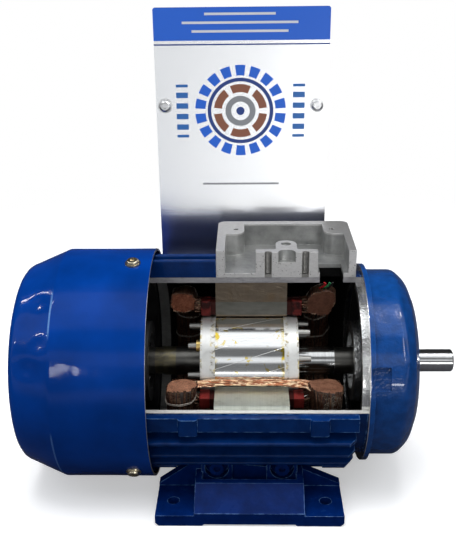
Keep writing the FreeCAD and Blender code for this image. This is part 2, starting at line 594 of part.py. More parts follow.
def frame_housing():
    """Finned aluminium body, sawn open at the front above the shaft axis."""
    pieces = [disc_x(FRAME_WALL_RADIUS, FRAME_REAR_X, FRAME_DRIVE_X)]
    horizontal = 90 - degrees(PAD_Z / PAD_FACE_Y)
    for side in (-1, 1):
        for step in range(1, LOWER_FINS + 1):
            angle = side * (horizontal + step * FIN_PITCH_ANGLE)
            if not near_tie_bolt(angle):
                pieces.append(fin(angle, LOWER_FIN_TIP_RADIUS))
    for step in range(UPPER_FINS):
        angle = FIRST_UPPER_FIN_ANGLE - step * FIN_PITCH_ANGLE
        if not near_tie_bolt(angle):
            pieces.append(fin(angle, UPPER_FIN_TIP_RADIUS))
    pads = side_pad()
    lugs = [foot_lug(x) for x in FOOT_EAR_XS]
    for piece in pads + lugs:
        pieces.append(piece)
        pieces.append(mirrored_front_to_back(piece))
    body = pieces[0].multiFuse(pieces[1:])
    # the seat stands on the body, and nothing of the fins reaches above or beside it
    seat_rear = BOX_REAR_X + BOX_SEAT_INSET
    seat_drive = BOX_DRIVE_X - BOX_SEAT_INSET
    seat_back = BOX_BACK_Y - BOX_SEAT_INSET
    body = body.cut(box(BOX_REAR_X - SCREW_CLEARANCE, BOX_DRIVE_X + OVERCUT, -OVERCUT, seat_back,
                        BOX_SEAT_Z, BIG))
    seat_angle = radians(BOX_SEAT_FOOT_ANGLE)
    seat = [V(seat_rear, 0, 0), V(seat_rear, 0, BOX_SEAT_Z), V(seat_rear, seat_back, BOX_SEAT_Z),
            V(seat_rear, seat_back, BOX_SEAT_Z - BOX_SEAT_EDGE),
            V(seat_rear, FRAME_WALL_RADIUS * sin(seat_angle), FRAME_WALL_RADIUS * cos(seat_angle))]
    body = body.fuse(prism(seat, V(seat_drive - seat_rear, 0, 0)))
    body = body.cut(disc_x(FRAME_BORE_RADIUS, FRAME_REAR_X - OVERCUT, FRAME_DRIVE_X + OVERCUT))
    body = body.cut(box(FRAME_REAR_X - OVERCUT, FRAME_DRIVE_X + OVERCUT, -BIG, 0, WINDOW_FLOOR_Z, BIG))
    # the cable passage, the clear space for the feet, the tie-bolt grooves and the tapped holes
    tools = [box(PASSAGE_REAR_X, PASSAGE_REAR_X + PASSAGE_LENGTH, -OVERCUT, PASSAGE_DEPTH, 0, BIG)]
    for reach, top in ((BIG, FOOT_SEAT_TOP_Z), (FOOT_EAR_FACE_Y, FOOT_EAR_TOP_Z + FIT_CLEARANCE)):
        space = box(-FOOT_SEAT_HALF_LENGTH, FOOT_SEAT_HALF_LENGTH, -reach, -FOOT_WEB_INNER_Y, -BIG, top)
        tools += [space, mirrored_front_to_back(space)]
    for angle in TIE_ANGLES:
        tools.append(along_tie(TIE_RADIUS + SCREW_CLEARANCE, angle, FRAME_REAR_X - OVERCUT,
                               FRAME_DRIVE_X + OVERCUT))
    for x in FOOT_EAR_XS:
        for side in (-1, 1):
            mouth = V(x, side * FOOT_EAR_FACE_Y, FOOT_SCREW_Z)
            end = V(x, side * (FOOT_WEB_INNER_Y - FOOT_SCREW_GRIP - OVERCUT), FOOT_SCREW_Z)
            tools.append(cylinder(FOOT_SCREW_RADIUS + FIT_CLEARANCE, mouth, end))
    for x in PAD_BOSS_XS:
        tools.append(cylinder(BRACKET_SCREW_RADIUS + FIT_CLEARANCE,
                              V(x, PAD_BOSS_FACE_Y - BRACKET_SCREW_GRIP - OVERCUT, PAD_Z),
                              V(x, PAD_BOSS_FACE_Y + OVERCUT, PAD_Z)))
    for x in BOX_SCREW_XS:
        tools.append(cylinder(BOX_SCREW_RADIUS + FIT_CLEARANCE, V(x, BOX_SCREW_Y, BOX_SEAT_Z + OVERCUT),
                              V(x, BOX_SCREW_Y, BOX_FLOOR_Z - BOX_SCREW_LENGTH - OVERCUT)))
    return body.cut(tools).removeSplitter()


# ---------------------------------------------------------------- end shields
def shoulder(x0, r0, x1, r1):
    """Points of a rounded shoulder from a cylinder of radius r0 over to a flat face at x1."""
    return [(x0 + (x1 - x0) * along, r0 - (r0 - r1) * inward) for along, inward in SHOULDER_SHARES]


def shield_skin():
    """Outer form of the drive shield behind its flange, with a smooth shoulder."""
    straight_x = FLANGE_END_X + SHIELD_STRAIGHT
    curve_points = shoulder(straight_x, SHIELD_BODY_RADIUS, SHIELD_FACE_X, SHIELD_FACE_RADIUS)
    points = [V(x, 0, r) for x, r in curve_points]
    curve = Part.BSplineCurve()
    curve.interpolate(Points=points, InitialTangent=X_AXIS, FinalTangent=Z_AXIS * -1)
    rest = Part.makePolygon([points[-1], V(SHIELD_FACE_X, 0, 0), V(FLANGE_END_X, 0, 0),
                             V(FLANGE_END_X, 0, SHIELD_BODY_RADIUS), points[0]])
    face = Part.Face(Part.Wire([curve.toShape()] + rest.Edges))
    return face.revolve(ORIGIN, X_AXIS, 360)


def drive_end_shield():
    """Cast drive-end cover: spigot, flange with tie-bolt ears, round body and bearing hub."""
    spigot_x = FRAME_DRIVE_X - SPIGOT_LENGTH
    face = SHIELD_FACE_X - SHIELD_WALL
    bore = SPIGOT_RADIUS - SPIGOT_WALL
    lining = shoulder(FLANGE_END_X + SHIELD_STRAIGHT, SHIELD_BODY_RADIUS - SHIELD_WALL, face,
                      SHIELD_FACE_RADIUS - JOIN)
    mouth_x = spigot_x - OVERCUT
    hollow = [(mouth_x, 0), (mouth_x, bore), (FLANGE_END_X, bore)] + lining + [(face, 0)]
    pieces = [disc_x(SPIGOT_RADIUS, spigot_x, FLANGE_END_X),
              disc_x(FLANGE_RADIUS, FRAME_DRIVE_X, FLANGE_END_X)]
    for angle in TIE_ANGLES:
        pieces.append(along_tie(TIE_EAR_RADIUS, angle, FRAME_DRIVE_X, FLANGE_END_X))
    shell = shield_skin().multiFuse(pieces).cut(spun(hollow, 0, 360))
    hub_end = face + JOIN
    inside = [disc_x(HUB_RADIUS, HUB_INNER_X, hub_end)]
    for step in range(SHIELD_RIBS):
        half = SHIELD_RIB_THICKNESS / 2
        rib = box(HUB_INNER_X + SHIELD_RIB_SETBACK, hub_end, -half, half, HUB_RADIUS - JOIN,
                  SHIELD_FACE_RADIUS + SHIELD_RIB_RISE)
        inside.append(about_shaft(rib, step * 360 / SHIELD_RIBS))
    body = shell.multiFuse(inside)
    bearing_end = DRIVE_BEARING_X + BEARING_WIDTH
    tools = [disc_x(BEARING_OUTER_RADIUS + FIT_CLEARANCE, HUB_INNER_X - OVERCUT, bearing_end),
             disc_x(HUB_BORE_RADIUS, bearing_end - OVERCUT, SHIELD_FACE_X + OVERCUT),
             disc_x(SEAL_POCKET_RADIUS, SHIELD_FACE_X - SEAL_POCKET_DEPTH, SHIELD_FACE_X + OVERCUT)]
    recess_end = FLANGE_END_X + TIE_RECESS_LENGTH
    for angle in TIE_ANGLES + (TIE_LOST_ANGLE,):
        recess = box(FLANGE_END_X, recess_end, -TIE_RECESS_HALF_WIDTH, TIE_RECESS_HALF_WIDTH,
                     TIE_RECESS_RADIUS, BIG)
        tools.append(about_shaft(recess, angle))
    for angle in TIE_ANGLES:
        tools.append(along_tie(TIE_RADIUS + SCREW_CLEARANCE, angle, FRAME_DRIVE_X - OVERCUT, recess_end))
    lost_ear = box(FRAME_DRIVE_X + LOST_EAR_STUB, FLANGE_END_X, -TIE_RECESS_HALF_WIDTH, TIE_RECESS_HALF_WIDTH,
                   SHIELD_BODY_RADIUS, BIG)
    tools.append(about_shaft(lost_ear, TIE_LOST_ANGLE))
    return body.cut(tools).removeSplitter()


def rear_end_shield():
    """Dished cover under the cowl: spigot, flange, bearing hub and three lugs for the cowl screws."""
    spigot_x = FRAME_REAR_X + SPIGOT_LENGTH
    dish_x = FRAME_REAR_X - REAR_SHIELD_DEPTH
    bore = SPIGOT_RADIUS - SPIGOT_WALL
    hub_core = HUB_RADIUS - JOIN
    section = [(spigot_x, bore), (spigot_x, SPIGOT_RADIUS), (FRAME_REAR_X, SPIGOT_RADIUS),
               (FRAME_REAR_X, FLANGE_RADIUS), (REAR_FLANGE_END_X, FLANGE_RADIUS),
               (REAR_FLANGE_END_X, SHIELD_BODY_RADIUS), (dish_x, bore), (dish_x, hub_core),
               (dish_x + REAR_SHIELD_WALL, hub_core), (dish_x + REAR_SHIELD_WALL, bore - REAR_SHIELD_WALL)]
    pieces = [spun(section, 0, 360), disc_x(HUB_RADIUS, REAR_HUB_END_X, REAR_HUB_INNER_X)]
    for angle in TIE_ANGLES:
        pieces.append(along_tie(TIE_EAR_RADIUS, angle, REAR_FLANGE_END_X, FRAME_REAR_X))
    for angle in COWL_SCREW_ANGLES:
        lug = box(COWL_SCREW_X - COWL_LUG_WIDTH / 2, FRAME_REAR_X, -COWL_LUG_WIDTH / 2, COWL_LUG_WIDTH / 2,
                  SHIELD_BODY_RADIUS - COWL_LUG_ROOT, COWL_RADIUS)
        pieces.append(about_shaft(lug, angle))
    body = pieces[0].multiFuse(pieces[1:]).common(disc_x(COWL_SEAT_RADIUS, REAR_HUB_END_X, spigot_x))
    tools = [disc_x(BEARING_OUTER_RADIUS + FIT_CLEARANCE, REAR_POCKET_END_X, REAR_HUB_INNER_X + OVERCUT),
             disc_x(HUB_BORE_RADIUS, REAR_HUB_END_X - OVERCUT, REAR_POCKET_END_X + OVERCUT)]
    for angle in TIE_ANGLES:
        tools.append(along_tie(TIE_RADIUS + SCREW_CLEARANCE, angle, REAR_FLANGE_END_X - OVERCUT,
                               FRAME_REAR_X + OVERCUT))
        tools.append(along_tie(TIE_EAR_RADIUS, angle, REAR_HUB_END_X, REAR_FLANGE_END_X))
    for angle in COWL_SCREW_ANGLES:
        hole = cylinder(COWL_SCREW_RADIUS + FIT_CLEARANCE, V(COWL_SCREW_X, 0, COWL_RADIUS),
                        V(COWL_SCREW_X, 0, COWL_RADIUS - COWL_SCREW_LENGTH - OVERCUT))
        tools.append(about_shaft(hole, angle))
    return body.cut(tools).removeSplitter()


# ---------------------------------------------------------------- fan cowl and its screws
def cowl_outline(sheet):
    """Half section of one side of the cowl sheet, inset by sheet: rim, crease, cone and end."""
    radius = COWL_RADIUS - sheet
    return [(COWL_RIM_X, radius), (COWL_CREASE_X, radius),
            (COWL_CONE_END_X + sheet / 2, COWL_CONE_END_RADIUS - sheet),
            (COWL_END_X + sheet, COWL_CONE_END_RADIUS - COWL_END_ROUND - sheet)]


def fan_cowl():
    """Pressed sheet cover over the fan, open at the rim, with a grille of arc slots in its end."""
    outer = cowl_outline(0)
    inner = cowl_outline(COWL_SHEET)
    section = outer + [(COWL_END_X, 0), (COWL_END_X + COWL_SHEET, 0)] + inner[::-1]
    shell = spun(section, 0, 360)
    tools = [disc_x(GRILLE_SLOT_WIDTH, COWL_END_X - OVERCUT, COWL_END_X + COWL_SHEET + OVERCUT)]
    for radius in GRILLE_RING_RADII:
        bridge = degrees(GRILLE_BRIDGE / radius)
        pitch = 360 / GRILLE_SLOTS
        for step in range(GRILLE_SLOTS):
            middle = step * pitch + pitch / 2
            tools.append(sector(radius - GRILLE_SLOT_WIDTH / 2, radius + GRILLE_SLOT_WIDTH / 2,
                                COWL_END_X - OVERCUT, COWL_END_X + COWL_SHEET + OVERCUT,
                                middle, pitch - bridge))
    for angle in COWL_SCREW_ANGLES:
        hole = cylinder(COWL_SCREW_RADIUS + SCREW_CLEARANCE, V(COWL_SCREW_X, 0, COWL_RADIUS + OVERCUT),
                        V(COWL_SCREW_X, 0, COWL_RADIUS - COWL_SHEET - OVERCUT))
        tools.append(about_shaft(hole, angle))
    return shell.cut(tools)


def cowl_fixings():
    """Three pan-head screws with hex sockets, and a washer under each."""
    up = Z_AXIS
    seat = V(COWL_SCREW_X, 0, COWL_RADIUS)
    # the washer beds on the round cowl, so its underside takes the cowl's curve
    bedded = cylinder(COWL_WASHER_RADIUS, seat - up, seat + up * COWL_WASHER_THICKNESS)
    bedded = bedded.cut(disc_x(COWL_RADIUS, COWL_SCREW_X - COWL_LUG_WIDTH, COWL_SCREW_X + COWL_LUG_WIDTH))
    hole_reach = COWL_WASHER_THICKNESS + OVERCUT
    hole = cylinder(COWL_SCREW_RADIUS + SCREW_CLEARANCE, seat - up * hole_reach, seat + up * hole_reach)
    bedded = bedded.cut(hole)
    fixing = screw(seat + up * COWL_WASHER_THICKNESS, up, COWL_SCREW_RADIUS, COWL_SCREW_LENGTH,
                   COWL_SCREW_HEAD_RADIUS, COWL_SCREW_HEAD, COWL_SCREW_SOCKET)
    top = fixing.BoundBox.ZMax
    rim = [e for e in fixing.Edges
           if abs(e.CenterOfMass.z - top) < EDGE_TOLERANCE and isinstance(e.Curve, Part.Circle)]
    fixing = fixing.makeFillet(COWL_SCREW_HEAD_ROUND, rim)
    screws = [about_shaft(fixing, angle) for angle in COWL_SCREW_ANGLES]
    washers = [about_shaft(bedded, angle) for angle in COWL_SCREW_ANGLES]
    return Part.makeCompound(screws), Part.makeCompound(washers)


# ---------------------------------------------------------------- ball bearings
def race(inner, outer, x0):
    """One bearing ring with its ball groove; the groove is a torus about the ball circle."""
    middle = x0 + BEARING_WIDTH / 2
    ring = ring_x(outer, inner, x0, x0 + BEARING_WIDTH)
    groove = Part.makeTorus(BALL_CIRCLE_RADIUS, BALL_RADIUS + RACE_PLAY, V(middle, 0, 0), X_AXIS)
    return ring.cut(groove)


def bearing(x0):
    """Outer ring, inner ring, balls and ball cage of one bearing that starts at x0."""
    middle = x0 + BEARING_WIDTH / 2
    lip = BALL_CIRCLE_RADIUS - RACE_LIP
    outer_ring = race(BALL_CIRCLE_RADIUS + RACE_LIP, BEARING_OUTER_RADIUS, x0)
    inner_ring = race(BEARING_BORE_RADIUS, lip, x0)
    cage = ring_x(BALL_CIRCLE_RADIUS + CAGE_WALL / 2, BALL_CIRCLE_RADIUS - CAGE_WALL / 2,
                  middle - CAGE_WIDTH / 2, middle + CAGE_WIDTH / 2)
    balls = []
    pockets = []
    for step in range(BEARING_BALLS):
        angle = radians(step * 360 / BEARING_BALLS)
        centre = V(middle, -BALL_CIRCLE_RADIUS * sin(angle), BALL_CIRCLE_RADIUS * cos(angle))
        outward = V(0, -sin(angle), cos(angle))
        balls.append(Part.makeSphere(BALL_RADIUS, centre))
        reach = outward * CAGE_WALL
        pockets.append(cylinder(BALL_RADIUS + CAGE_PLAY, centre - reach, centre + reach))
    return outer_ring, inner_ring, Part.makeCompound(balls), cage.cut(pockets)


def wave_washer():
    """Spring washer that pushes the rear bearing towards the drive end."""
    middle = REAR_POCKET_END_X + WAVE_WASHER_SPACE / 2
    outer = BEARING_OUTER_RADIUS - SCREW_CLEARANCE
    return ring_x(outer, outer - WAVE_WASHER_WIDTH, middle - WAVE_WASHER_THICKNESS / 2,
                  middle + WAVE_WASHER_THICKNESS / 2)


def shaft_seal():
    """Rubber lip seal pressed into the drive shield, its lip just clear of the shaft journal."""
    start = SHIELD_FACE_X - SEAL_POCKET_DEPTH
    lip = BEARING_BORE_RADIUS + FIT_CLEARANCE
    wall = SEAL_POCKET_RADIUS - SEAL_WALL
    neck = wall - SEAL_WALL / 2
    web = start + SEAL_WALL
    end = SHAFT_SHOULDER_X
    section = [(start, wall), (start, SEAL_POCKET_RADIUS), (SHIELD_FACE_X, SEAL_POCKET_RADIUS),
               (SHIELD_FACE_X, wall), (end, neck), (end, lip), (web, lip), (web, neck)]
    return spun(section, 0, 360)


# ---------------------------------------------------------------- shaft, fan and circlip
def rotor_shaft():
    """Turned shaft: fan seat, two bearing journals, thick middle and drive extension with keyway."""
    journal = BEARING_BORE_RADIUS
    rear_step = REAR_BEARING_X
    drive_step = DRIVE_BEARING_X
    rear_journal_end = REAR_HUB_END_X - REAR_JOURNAL_REACH
    chamfer = SHAFT_CHAMFER
    outline = [(SHAFT_TAIL_X, 0), (SHAFT_TAIL_X, FAN_SEAT_RADIUS - chamfer),
               (SHAFT_TAIL_X + chamfer, FAN_SEAT_RADIUS), (rear_journal_end, FAN_SEAT_RADIUS),
               (rear_journal_end, journal), (rear_step, journal), (rear_step, SHAFT_SHOULDER_RADIUS),
               (SHAFT_BODY_REAR_X, SHAFT_SHOULDER_RADIUS), (SHAFT_BODY_REAR_X, SHAFT_BODY_RADIUS),
               (SHAFT_BODY_DRIVE_X, SHAFT_BODY_RADIUS), (SHAFT_BODY_DRIVE_X, SHAFT_SHOULDER_RADIUS),
               (drive_step, SHAFT_SHOULDER_RADIUS), (drive_step, journal), (SHAFT_SHOULDER_X, journal),
               (SHAFT_SHOULDER_X, EXTENSION_RADIUS), (SHAFT_END_X - chamfer, EXTENSION_RADIUS),
               (SHAFT_END_X, EXTENSION_RADIUS - chamfer), (SHAFT_END_X, 0)]
    shaft = spun(outline, 0, 360)
    groove = ring_x(FAN_SEAT_RADIUS + OVERCUT, FAN_SEAT_RADIUS - CIRCLIP_GROOVE,
                    FAN_HUB_END_X - CIRCLIP_THICKNESS, FAN_HUB_END_X)
    return shaft.cut([groove, keyway()])


def keyway():
    """Round-ended slot for the key of a coupling."""
    x1 = SHAFT_END_X - KEYWAY_FROM_END
    x0 = x1 - KEYWAY_LENGTH
    half = KEYWAY_WIDTH / 2
    floor = EXTENSION_RADIUS - KEYWAY_DEPTH
    top = EXTENSION_RADIUS + OVERCUT
    block = box(x0 + half, x1 - half, -half, half, floor, top)
    ends = [cylinder(half, V(x, 0, floor), V(x, 0, top)) for x in (x0 + half, x1 - half)]
    return about_shaft(block.multiFuse(ends), KEYWAY_ANGLE)


def cooling_fan():
    """Moulded fan: hub on the shaft tail, back disc and straight blades, good for either direction."""
    pieces = [disc_x(FAN_HUB_RADIUS, FAN_HUB_END_X, FAN_SEAT_X),
              disc_x(FAN_RADIUS, FAN_SEAT_X - FAN_DISC_THICKNESS, FAN_SEAT_X)]
    half = FAN_BLADE_THICKNESS / 2
    root = FAN_SEAT_X - JOIN
    edge = FAN_SEAT_X - FAN_BLADE_DEPTH
    outline = [(root, FAN_HUB_RADIUS - JOIN), (root, FAN_RADIUS), (edge, FAN_RADIUS), (edge, FAN_BLADE_ROOT_RADIUS),
               (FAN_HUB_END_X + FAN_BLADE_FOOT, FAN_HUB_RADIUS - JOIN)]
    for step in range(FAN_BLADES):
        blade = prism([V(x, -half, r) for x, r in outline], V(0, FAN_BLADE_THICKNESS, 0))
        pieces.append(about_shaft(blade, step * 360 / FAN_BLADES))
    bore = disc_x(FAN_SEAT_RADIUS + FIT_CLEARANCE, FAN_HUB_END_X - OVERCUT, FAN_SEAT_X + OVERCUT)
    return pieces[0].multiFuse(pieces[1:]).cut(bore).removeSplitter()


def fan_circlip():
    """Open ring in the shaft groove that holds the fan."""
    x0 = FAN_HUB_END_X - CIRCLIP_THICKNESS + FIT_CLEARANCE
    x1 = FAN_HUB_END_X - FIT_CLEARANCE
    ring = ring_x(CIRCLIP_RADIUS, FAN_SEAT_RADIUS - CIRCLIP_GROOVE + FIT_CLEARANCE, x0, x1)
    gap = box(x0 - OVERCUT, x1 + OVERCUT, -CIRCLIP_GAP / 2, CIRCLIP_GAP / 2, -CIRCLIP_RADIUS - OVERCUT, 0)
    return ring.cut(gap)


# ---------------------------------------------------------------- rotor core and cast cage
def skewed_bar(step):
    """One rotor bar; its two ends are turned against each other by the skew."""
    sections = []
    start = step * 360 / ROTOR_BARS
    half = BAR_HALF_WIDTH
    outline = ((-half, BAR_INNER_RADIUS), (half, BAR_INNER_RADIUS), (half, BAR_OUTER_RADIUS), (-half, BAR_OUTER_RADIUS))
    for x, angle in ((ROTOR_REAR_X, start), (ROTOR_DRIVE_X, start - BAR_SKEW)):
        corners = [V(x, y, r) for y, r in outline]
        wire = Part.makePolygon(corners + corners[:1])
        wire.rotate(ORIGIN, X_AXIS, angle)
        sections.append(wire)
    return Part.makeLoft(sections, True, True)


def balance_stud(x, reach, angle):
    """Slightly tapered stud cast on the face of an end ring; reach is negative at the rear."""
    way = X_AXIS if reach > 0 else X_AXIS * -1
    stud = Part.makeCone(STUD_RADIUS, STUD_RADIUS - STUD_DRAFT, abs(reach), V(x, 0, STUD_CIRCLE_RADIUS), way)
    return about_shaft(stud, angle)


def rotor_core_and_cage():
    """Laminated core with its skewed slots, and the aluminium cast into them and round its ends."""
    bars = [skewed_bar(step) for step in range(ROTOR_BARS)]
    core = disc_x(ROTOR_RADIUS, ROTOR_REAR_X, ROTOR_DRIVE_X)
    bore = disc_x(SHAFT_BODY_RADIUS + FIT_CLEARANCE, ROTOR_REAR_X - OVERCUT, ROTOR_DRIVE_X + OVERCUT)
    core = core.cut(bore).cut(bars)
    rear_face = ROTOR_REAR_X - END_RING_REAR
    drive_face = ROTOR_DRIVE_X + END_RING_DRIVE
    pieces = [ring_x(ROTOR_RADIUS, END_RING_BORE_RADIUS, rear_face, ROTOR_REAR_X),
              ring_x(ROTOR_RADIUS, END_RING_BORE_RADIUS, ROTOR_DRIVE_X, drive_face)]
    for step in range(STUDS):
        turn = step * 360 / STUDS
        pieces.append(balance_stud(rear_face, -STUD_LENGTH, STUD_REAR_ANGLE + turn))
        pieces.append(balance_stud(drive_face, STUD_LENGTH, STUD_DRIVE_ANGLE + turn))
    cage = pieces[0].multiFuse(bars + pieces[1:])
    return core, cage


def balance_washer():
    """Brass washer pressed over one rear stud to balance the rotor."""
    face = ROTOR_REAR_X - END_RING_REAR
    centre = V(face, 0, STUD_CIRCLE_RADIUS)
    ring = washer(centre, X_AXIS * -1, BALANCE_WASHER_RADIUS, STUD_RADIUS + FIT_CLEARANCE,
                  BALANCE_WASHER_THICKNESS)
    return about_shaft(ring, STUD_REAR_ANGLE)


# ---------------------------------------------------------------- stator core and what lies in its slots
def slot_angle(step):
    return FIRST_SLOT_ANGLE + step * 360 / SLOTS


def slot_angles():
    """Slots that are still in iron: the top one, sawn open, and all past the lower saw cut."""
    return [slot_angle(0)] + [slot_angle(step) for step in range(LOOSE_SLOT + 1, SLOTS)]


def stator_core():
    """Laminated stator with open-mouthed slots, its front upper part sawn out."""
    core = ring_x(STATOR_RADIUS, STATOR_BORE_RADIUS, STATOR_REAR_X, STATOR_DRIVE_X)
    x0 = STATOR_REAR_X - OVERCUT
    x1 = STATOR_DRIVE_X + OVERCUT
    tools = [box(x0, x1, -BIG, 0, STATOR_CUT_Z, BIG)]
    for angle in slot_angles():
        tools.append(sector(SLOT_TOP_RADIUS, SLOT_BOTTOM_RADIUS, x0, x1, angle, SLOT_ANGLE))
        tools.append(sector(STATOR_BORE_RADIUS - OVERCUT, SLOT_TOP_RADIUS + EDGE_TOLERANCE, x0, x1, angle,
                            SLOT_MOUTH_ANGLE))
    return core.cut(tools)


def slot_tube(angle, x0, x1, grow, wall):
    """Box-shaped sleeve inside a slot: grow is its play in the slot, wall its thickness."""
    turn = degrees(grow / SLOT_TOP_RADIUS)
    shrink = degrees((grow + wall) / SLOT_TOP_RADIUS)
    inset = grow + wall
    outside = sector(SLOT_TOP_RADIUS + grow, SLOT_BOTTOM_RADIUS - grow, x0, x1, angle, SLOT_ANGLE - 2 * turn)
    inside = sector(SLOT_TOP_RADIUS + inset, SLOT_BOTTOM_RADIUS - inset, x0 - OVERCUT, x1 + OVERCUT, angle,
                    SLOT_ANGLE - 2 * shrink)
    return outside.cut(inside)


def slot_liners():
    """Insulating paper in every slot, a little longer than the core; the sawn slot keeps what lies behind the cut."""
    liners = []
    x0 = STATOR_REAR_X - LINER_OVERHANG
    x1 = STATOR_DRIVE_X + LINER_OVERHANG
    for angle in slot_angles():
        liner = slot_tube(angle, x0, x1, FIT_CLEARANCE, LINER)
        liners.append(liner.cut(box(x0 - OVERCUT, x1 + OVERCUT, -BIG, 0, 0, BIG)))
    return Part.makeCompound(liners)


def coil_side(angle, x0, x1):
    """The bundle of wires in one slot."""
    play = FIT_CLEARANCE + LINER + SIDE_CLEARANCE
    width = SLOT_ANGLE - 2 * degrees(play / SLOT_TOP_RADIUS)
    return sector(SLOT_TOP_RADIUS + play, SLOT_BOTTOM_RADIUS - play, x0, x1, angle, width)


def slot_windings():
    """Wires in the slots, their ends at the sawn top slot, and what is left of those sawn free below."""
    sides = [coil_side(angle, REAR_WINDING_X, DRIVE_WINDING_X) for angle in slot_angles()[1:]]
    sides.append(coil_side(slot_angle(0), REAR_WINDING_X, STATOR_REAR_X - LINER_OVERHANG))
    sides.append(coil_side(slot_angle(0), STATOR_DRIVE_X + LINER_OVERHANG, DRIVE_WINDING_X))
    low = SLOT_TOP_RADIUS - LOOSE_WIRE_DROP
    sides.append(sector(low, low + LOOSE_WIRE_DEPTH, REAR_WINDING_X, DRIVE_WINDING_X, slot_angle(LOOSE_SLOT),
                        LOOSE_WIRE_ANGLE))
    return Part.makeCompound(sides)


def winding_profile(x0, width, grow):
    """Rounded section of an end winding, as a face in the plane through the shaft axis."""
    low = WINDING_INNER_RADIUS - grow
    high = WINDING_OUTER_RADIUS + grow
    start = x0 - grow
    block = box(start, x0 + width + grow, -JOIN, JOIN, low, high)
    edges = [e for e in block.Edges if abs(e.CenterOfMass.y) < EDGE_TOLERANCE]
    rounded = block.makeFillet(WINDING_ROUND, edges)
    return rounded.slice(Y_AXIS, 0)[0]


def winding_ring(x0, width, grow, start, sweep):
    """End winding, or a band round it, from one angle through a sweep."""
    face = Part.Face(winding_profile(x0, width, grow))
    return about_shaft(face.revolve(ORIGIN, X_AXIS, sweep), start)


def end_winding(x0, width):
    """Ring of wires at one end of the stator, sawn off at both sides of the window."""
    return winding_ring(x0, width, 0, WINDING_CUT_ANGLE, 360 - WINDING_CUT_ANGLE)


def slot_sleeves():
    """Red sleeving on bundles where they leave the core, at both ends: the sawn one and every other one below."""
    sleeves = []
    ends = ((STATOR_REAR_X - LINER_OVERHANG - FIT_CLEARANCE - SLEEVE_LENGTH, SLEEVE_LENGTH),
            (STATOR_DRIVE_X + LINER_OVERHANG + FIT_CLEARANCE, SLEEVE_LENGTH))
    outward = SLEEVE_WALL - LINER
    for x0, length in ends:
        for angle in slot_angles()[:1] + slot_angles()[1::2]:
            sleeves.append(slot_tube(angle, x0, x0 + length, -outward, SLEEVE_WALL))
    return Part.makeCompound(sleeves)


def lacing():
    """Cord bound round both end windings at equal steps, the first loop just below the sawn face."""
    bands = []
    for x0, width in ((REAR_WINDING_X - REAR_WINDING_WIDTH, REAR_WINDING_WIDTH),
                      (DRIVE_WINDING_X, DRIVE_WINDING_WIDTH)):
        for step in range(LOOSE_SLOT, SLOTS, LACE_STEP_SLOTS):
            start = slot_angle(step) + (360 / SLOTS - LACE_ANGLE) / 2
            outside = winding_ring(x0, width, LACE_THICKNESS, start, LACE_ANGLE)
            inside = winding_ring(x0, width, 0, start - LACE_ANGLE / 2, 2 * LACE_ANGLE)
            bands.append(outside.cut(inside))
    return Part.makeCompound(bands)


def lead_wires(winding):
    """Three leads that rise from the drive-end winding into the cable passage, cut off short."""
    leads = []
    for step in range(LEADS):
        x = PASSAGE_REAR_X + LEAD_INSET + step * LEAD_PITCH
        lead = cylinder(LEAD_RADIUS, V(x, LEAD_Y, WINDING_OUTER_RADIUS - LEAD_ROOT), V(x, LEAD_Y, LEAD_TOP_Z))
        leads.append(lead.cut(winding))
    return Part.makeCompound(leads)


# ---------------------------------------------------------------- terminal box
def box_cavity():
    """What is hollow in the terminal box: a rounded pocket less the two corner posts."""
    x0 = BOX_REAR_X + BOX_REAR_WALL
    x1 = BOX_DRIVE_X - BOX_DRIVE_WALL
    y1 = BOX_BACK_Y - BOX_BACK_WALL
    cavity = box(x0, x1, -OVERCUT, y1, BOX_FLOOR_Z, BOX_RIM_Z + OVERCUT)
    corners = [e for e in cavity.Edges
               if e.CenterOfMass.y > y1 - EDGE_TOLERANCE and e.BoundBox.XLength < EDGE_TOLERANCE]
    cavity = cavity.makeFillet(BOX_INNER_ROUND, corners)
    post_y = BOX_BACK_Y - POST_REACH_Y
    above = BOX_RIM_Z + 2 * OVERCUT
    for outer_x, inward in ((BOX_REAR_X, POST_REACH_X), (BOX_DRIVE_X, -POST_REACH_X)):
        near_x = outer_x + inward
        post = box(min(outer_x, near_x), max(outer_x, near_x), post_y, BOX_BACK_Y, BOX_SEAT_Z, above)
        corner = [e for e in post.Edges
                  if abs(e.CenterOfMass.x - near_x) < EDGE_TOLERANCE
                  and abs(e.CenterOfMass.y - post_y) < EDGE_TOLERANCE]
        cavity = cavity.cut(post.makeFillet(POST_ROUND, corner))
    return cavity


def upright(radius, x, y, z0, z1):
    """Round bar standing in the terminal box."""
    return cylinder(radius, V(x, y, z0), V(x, y, z1))


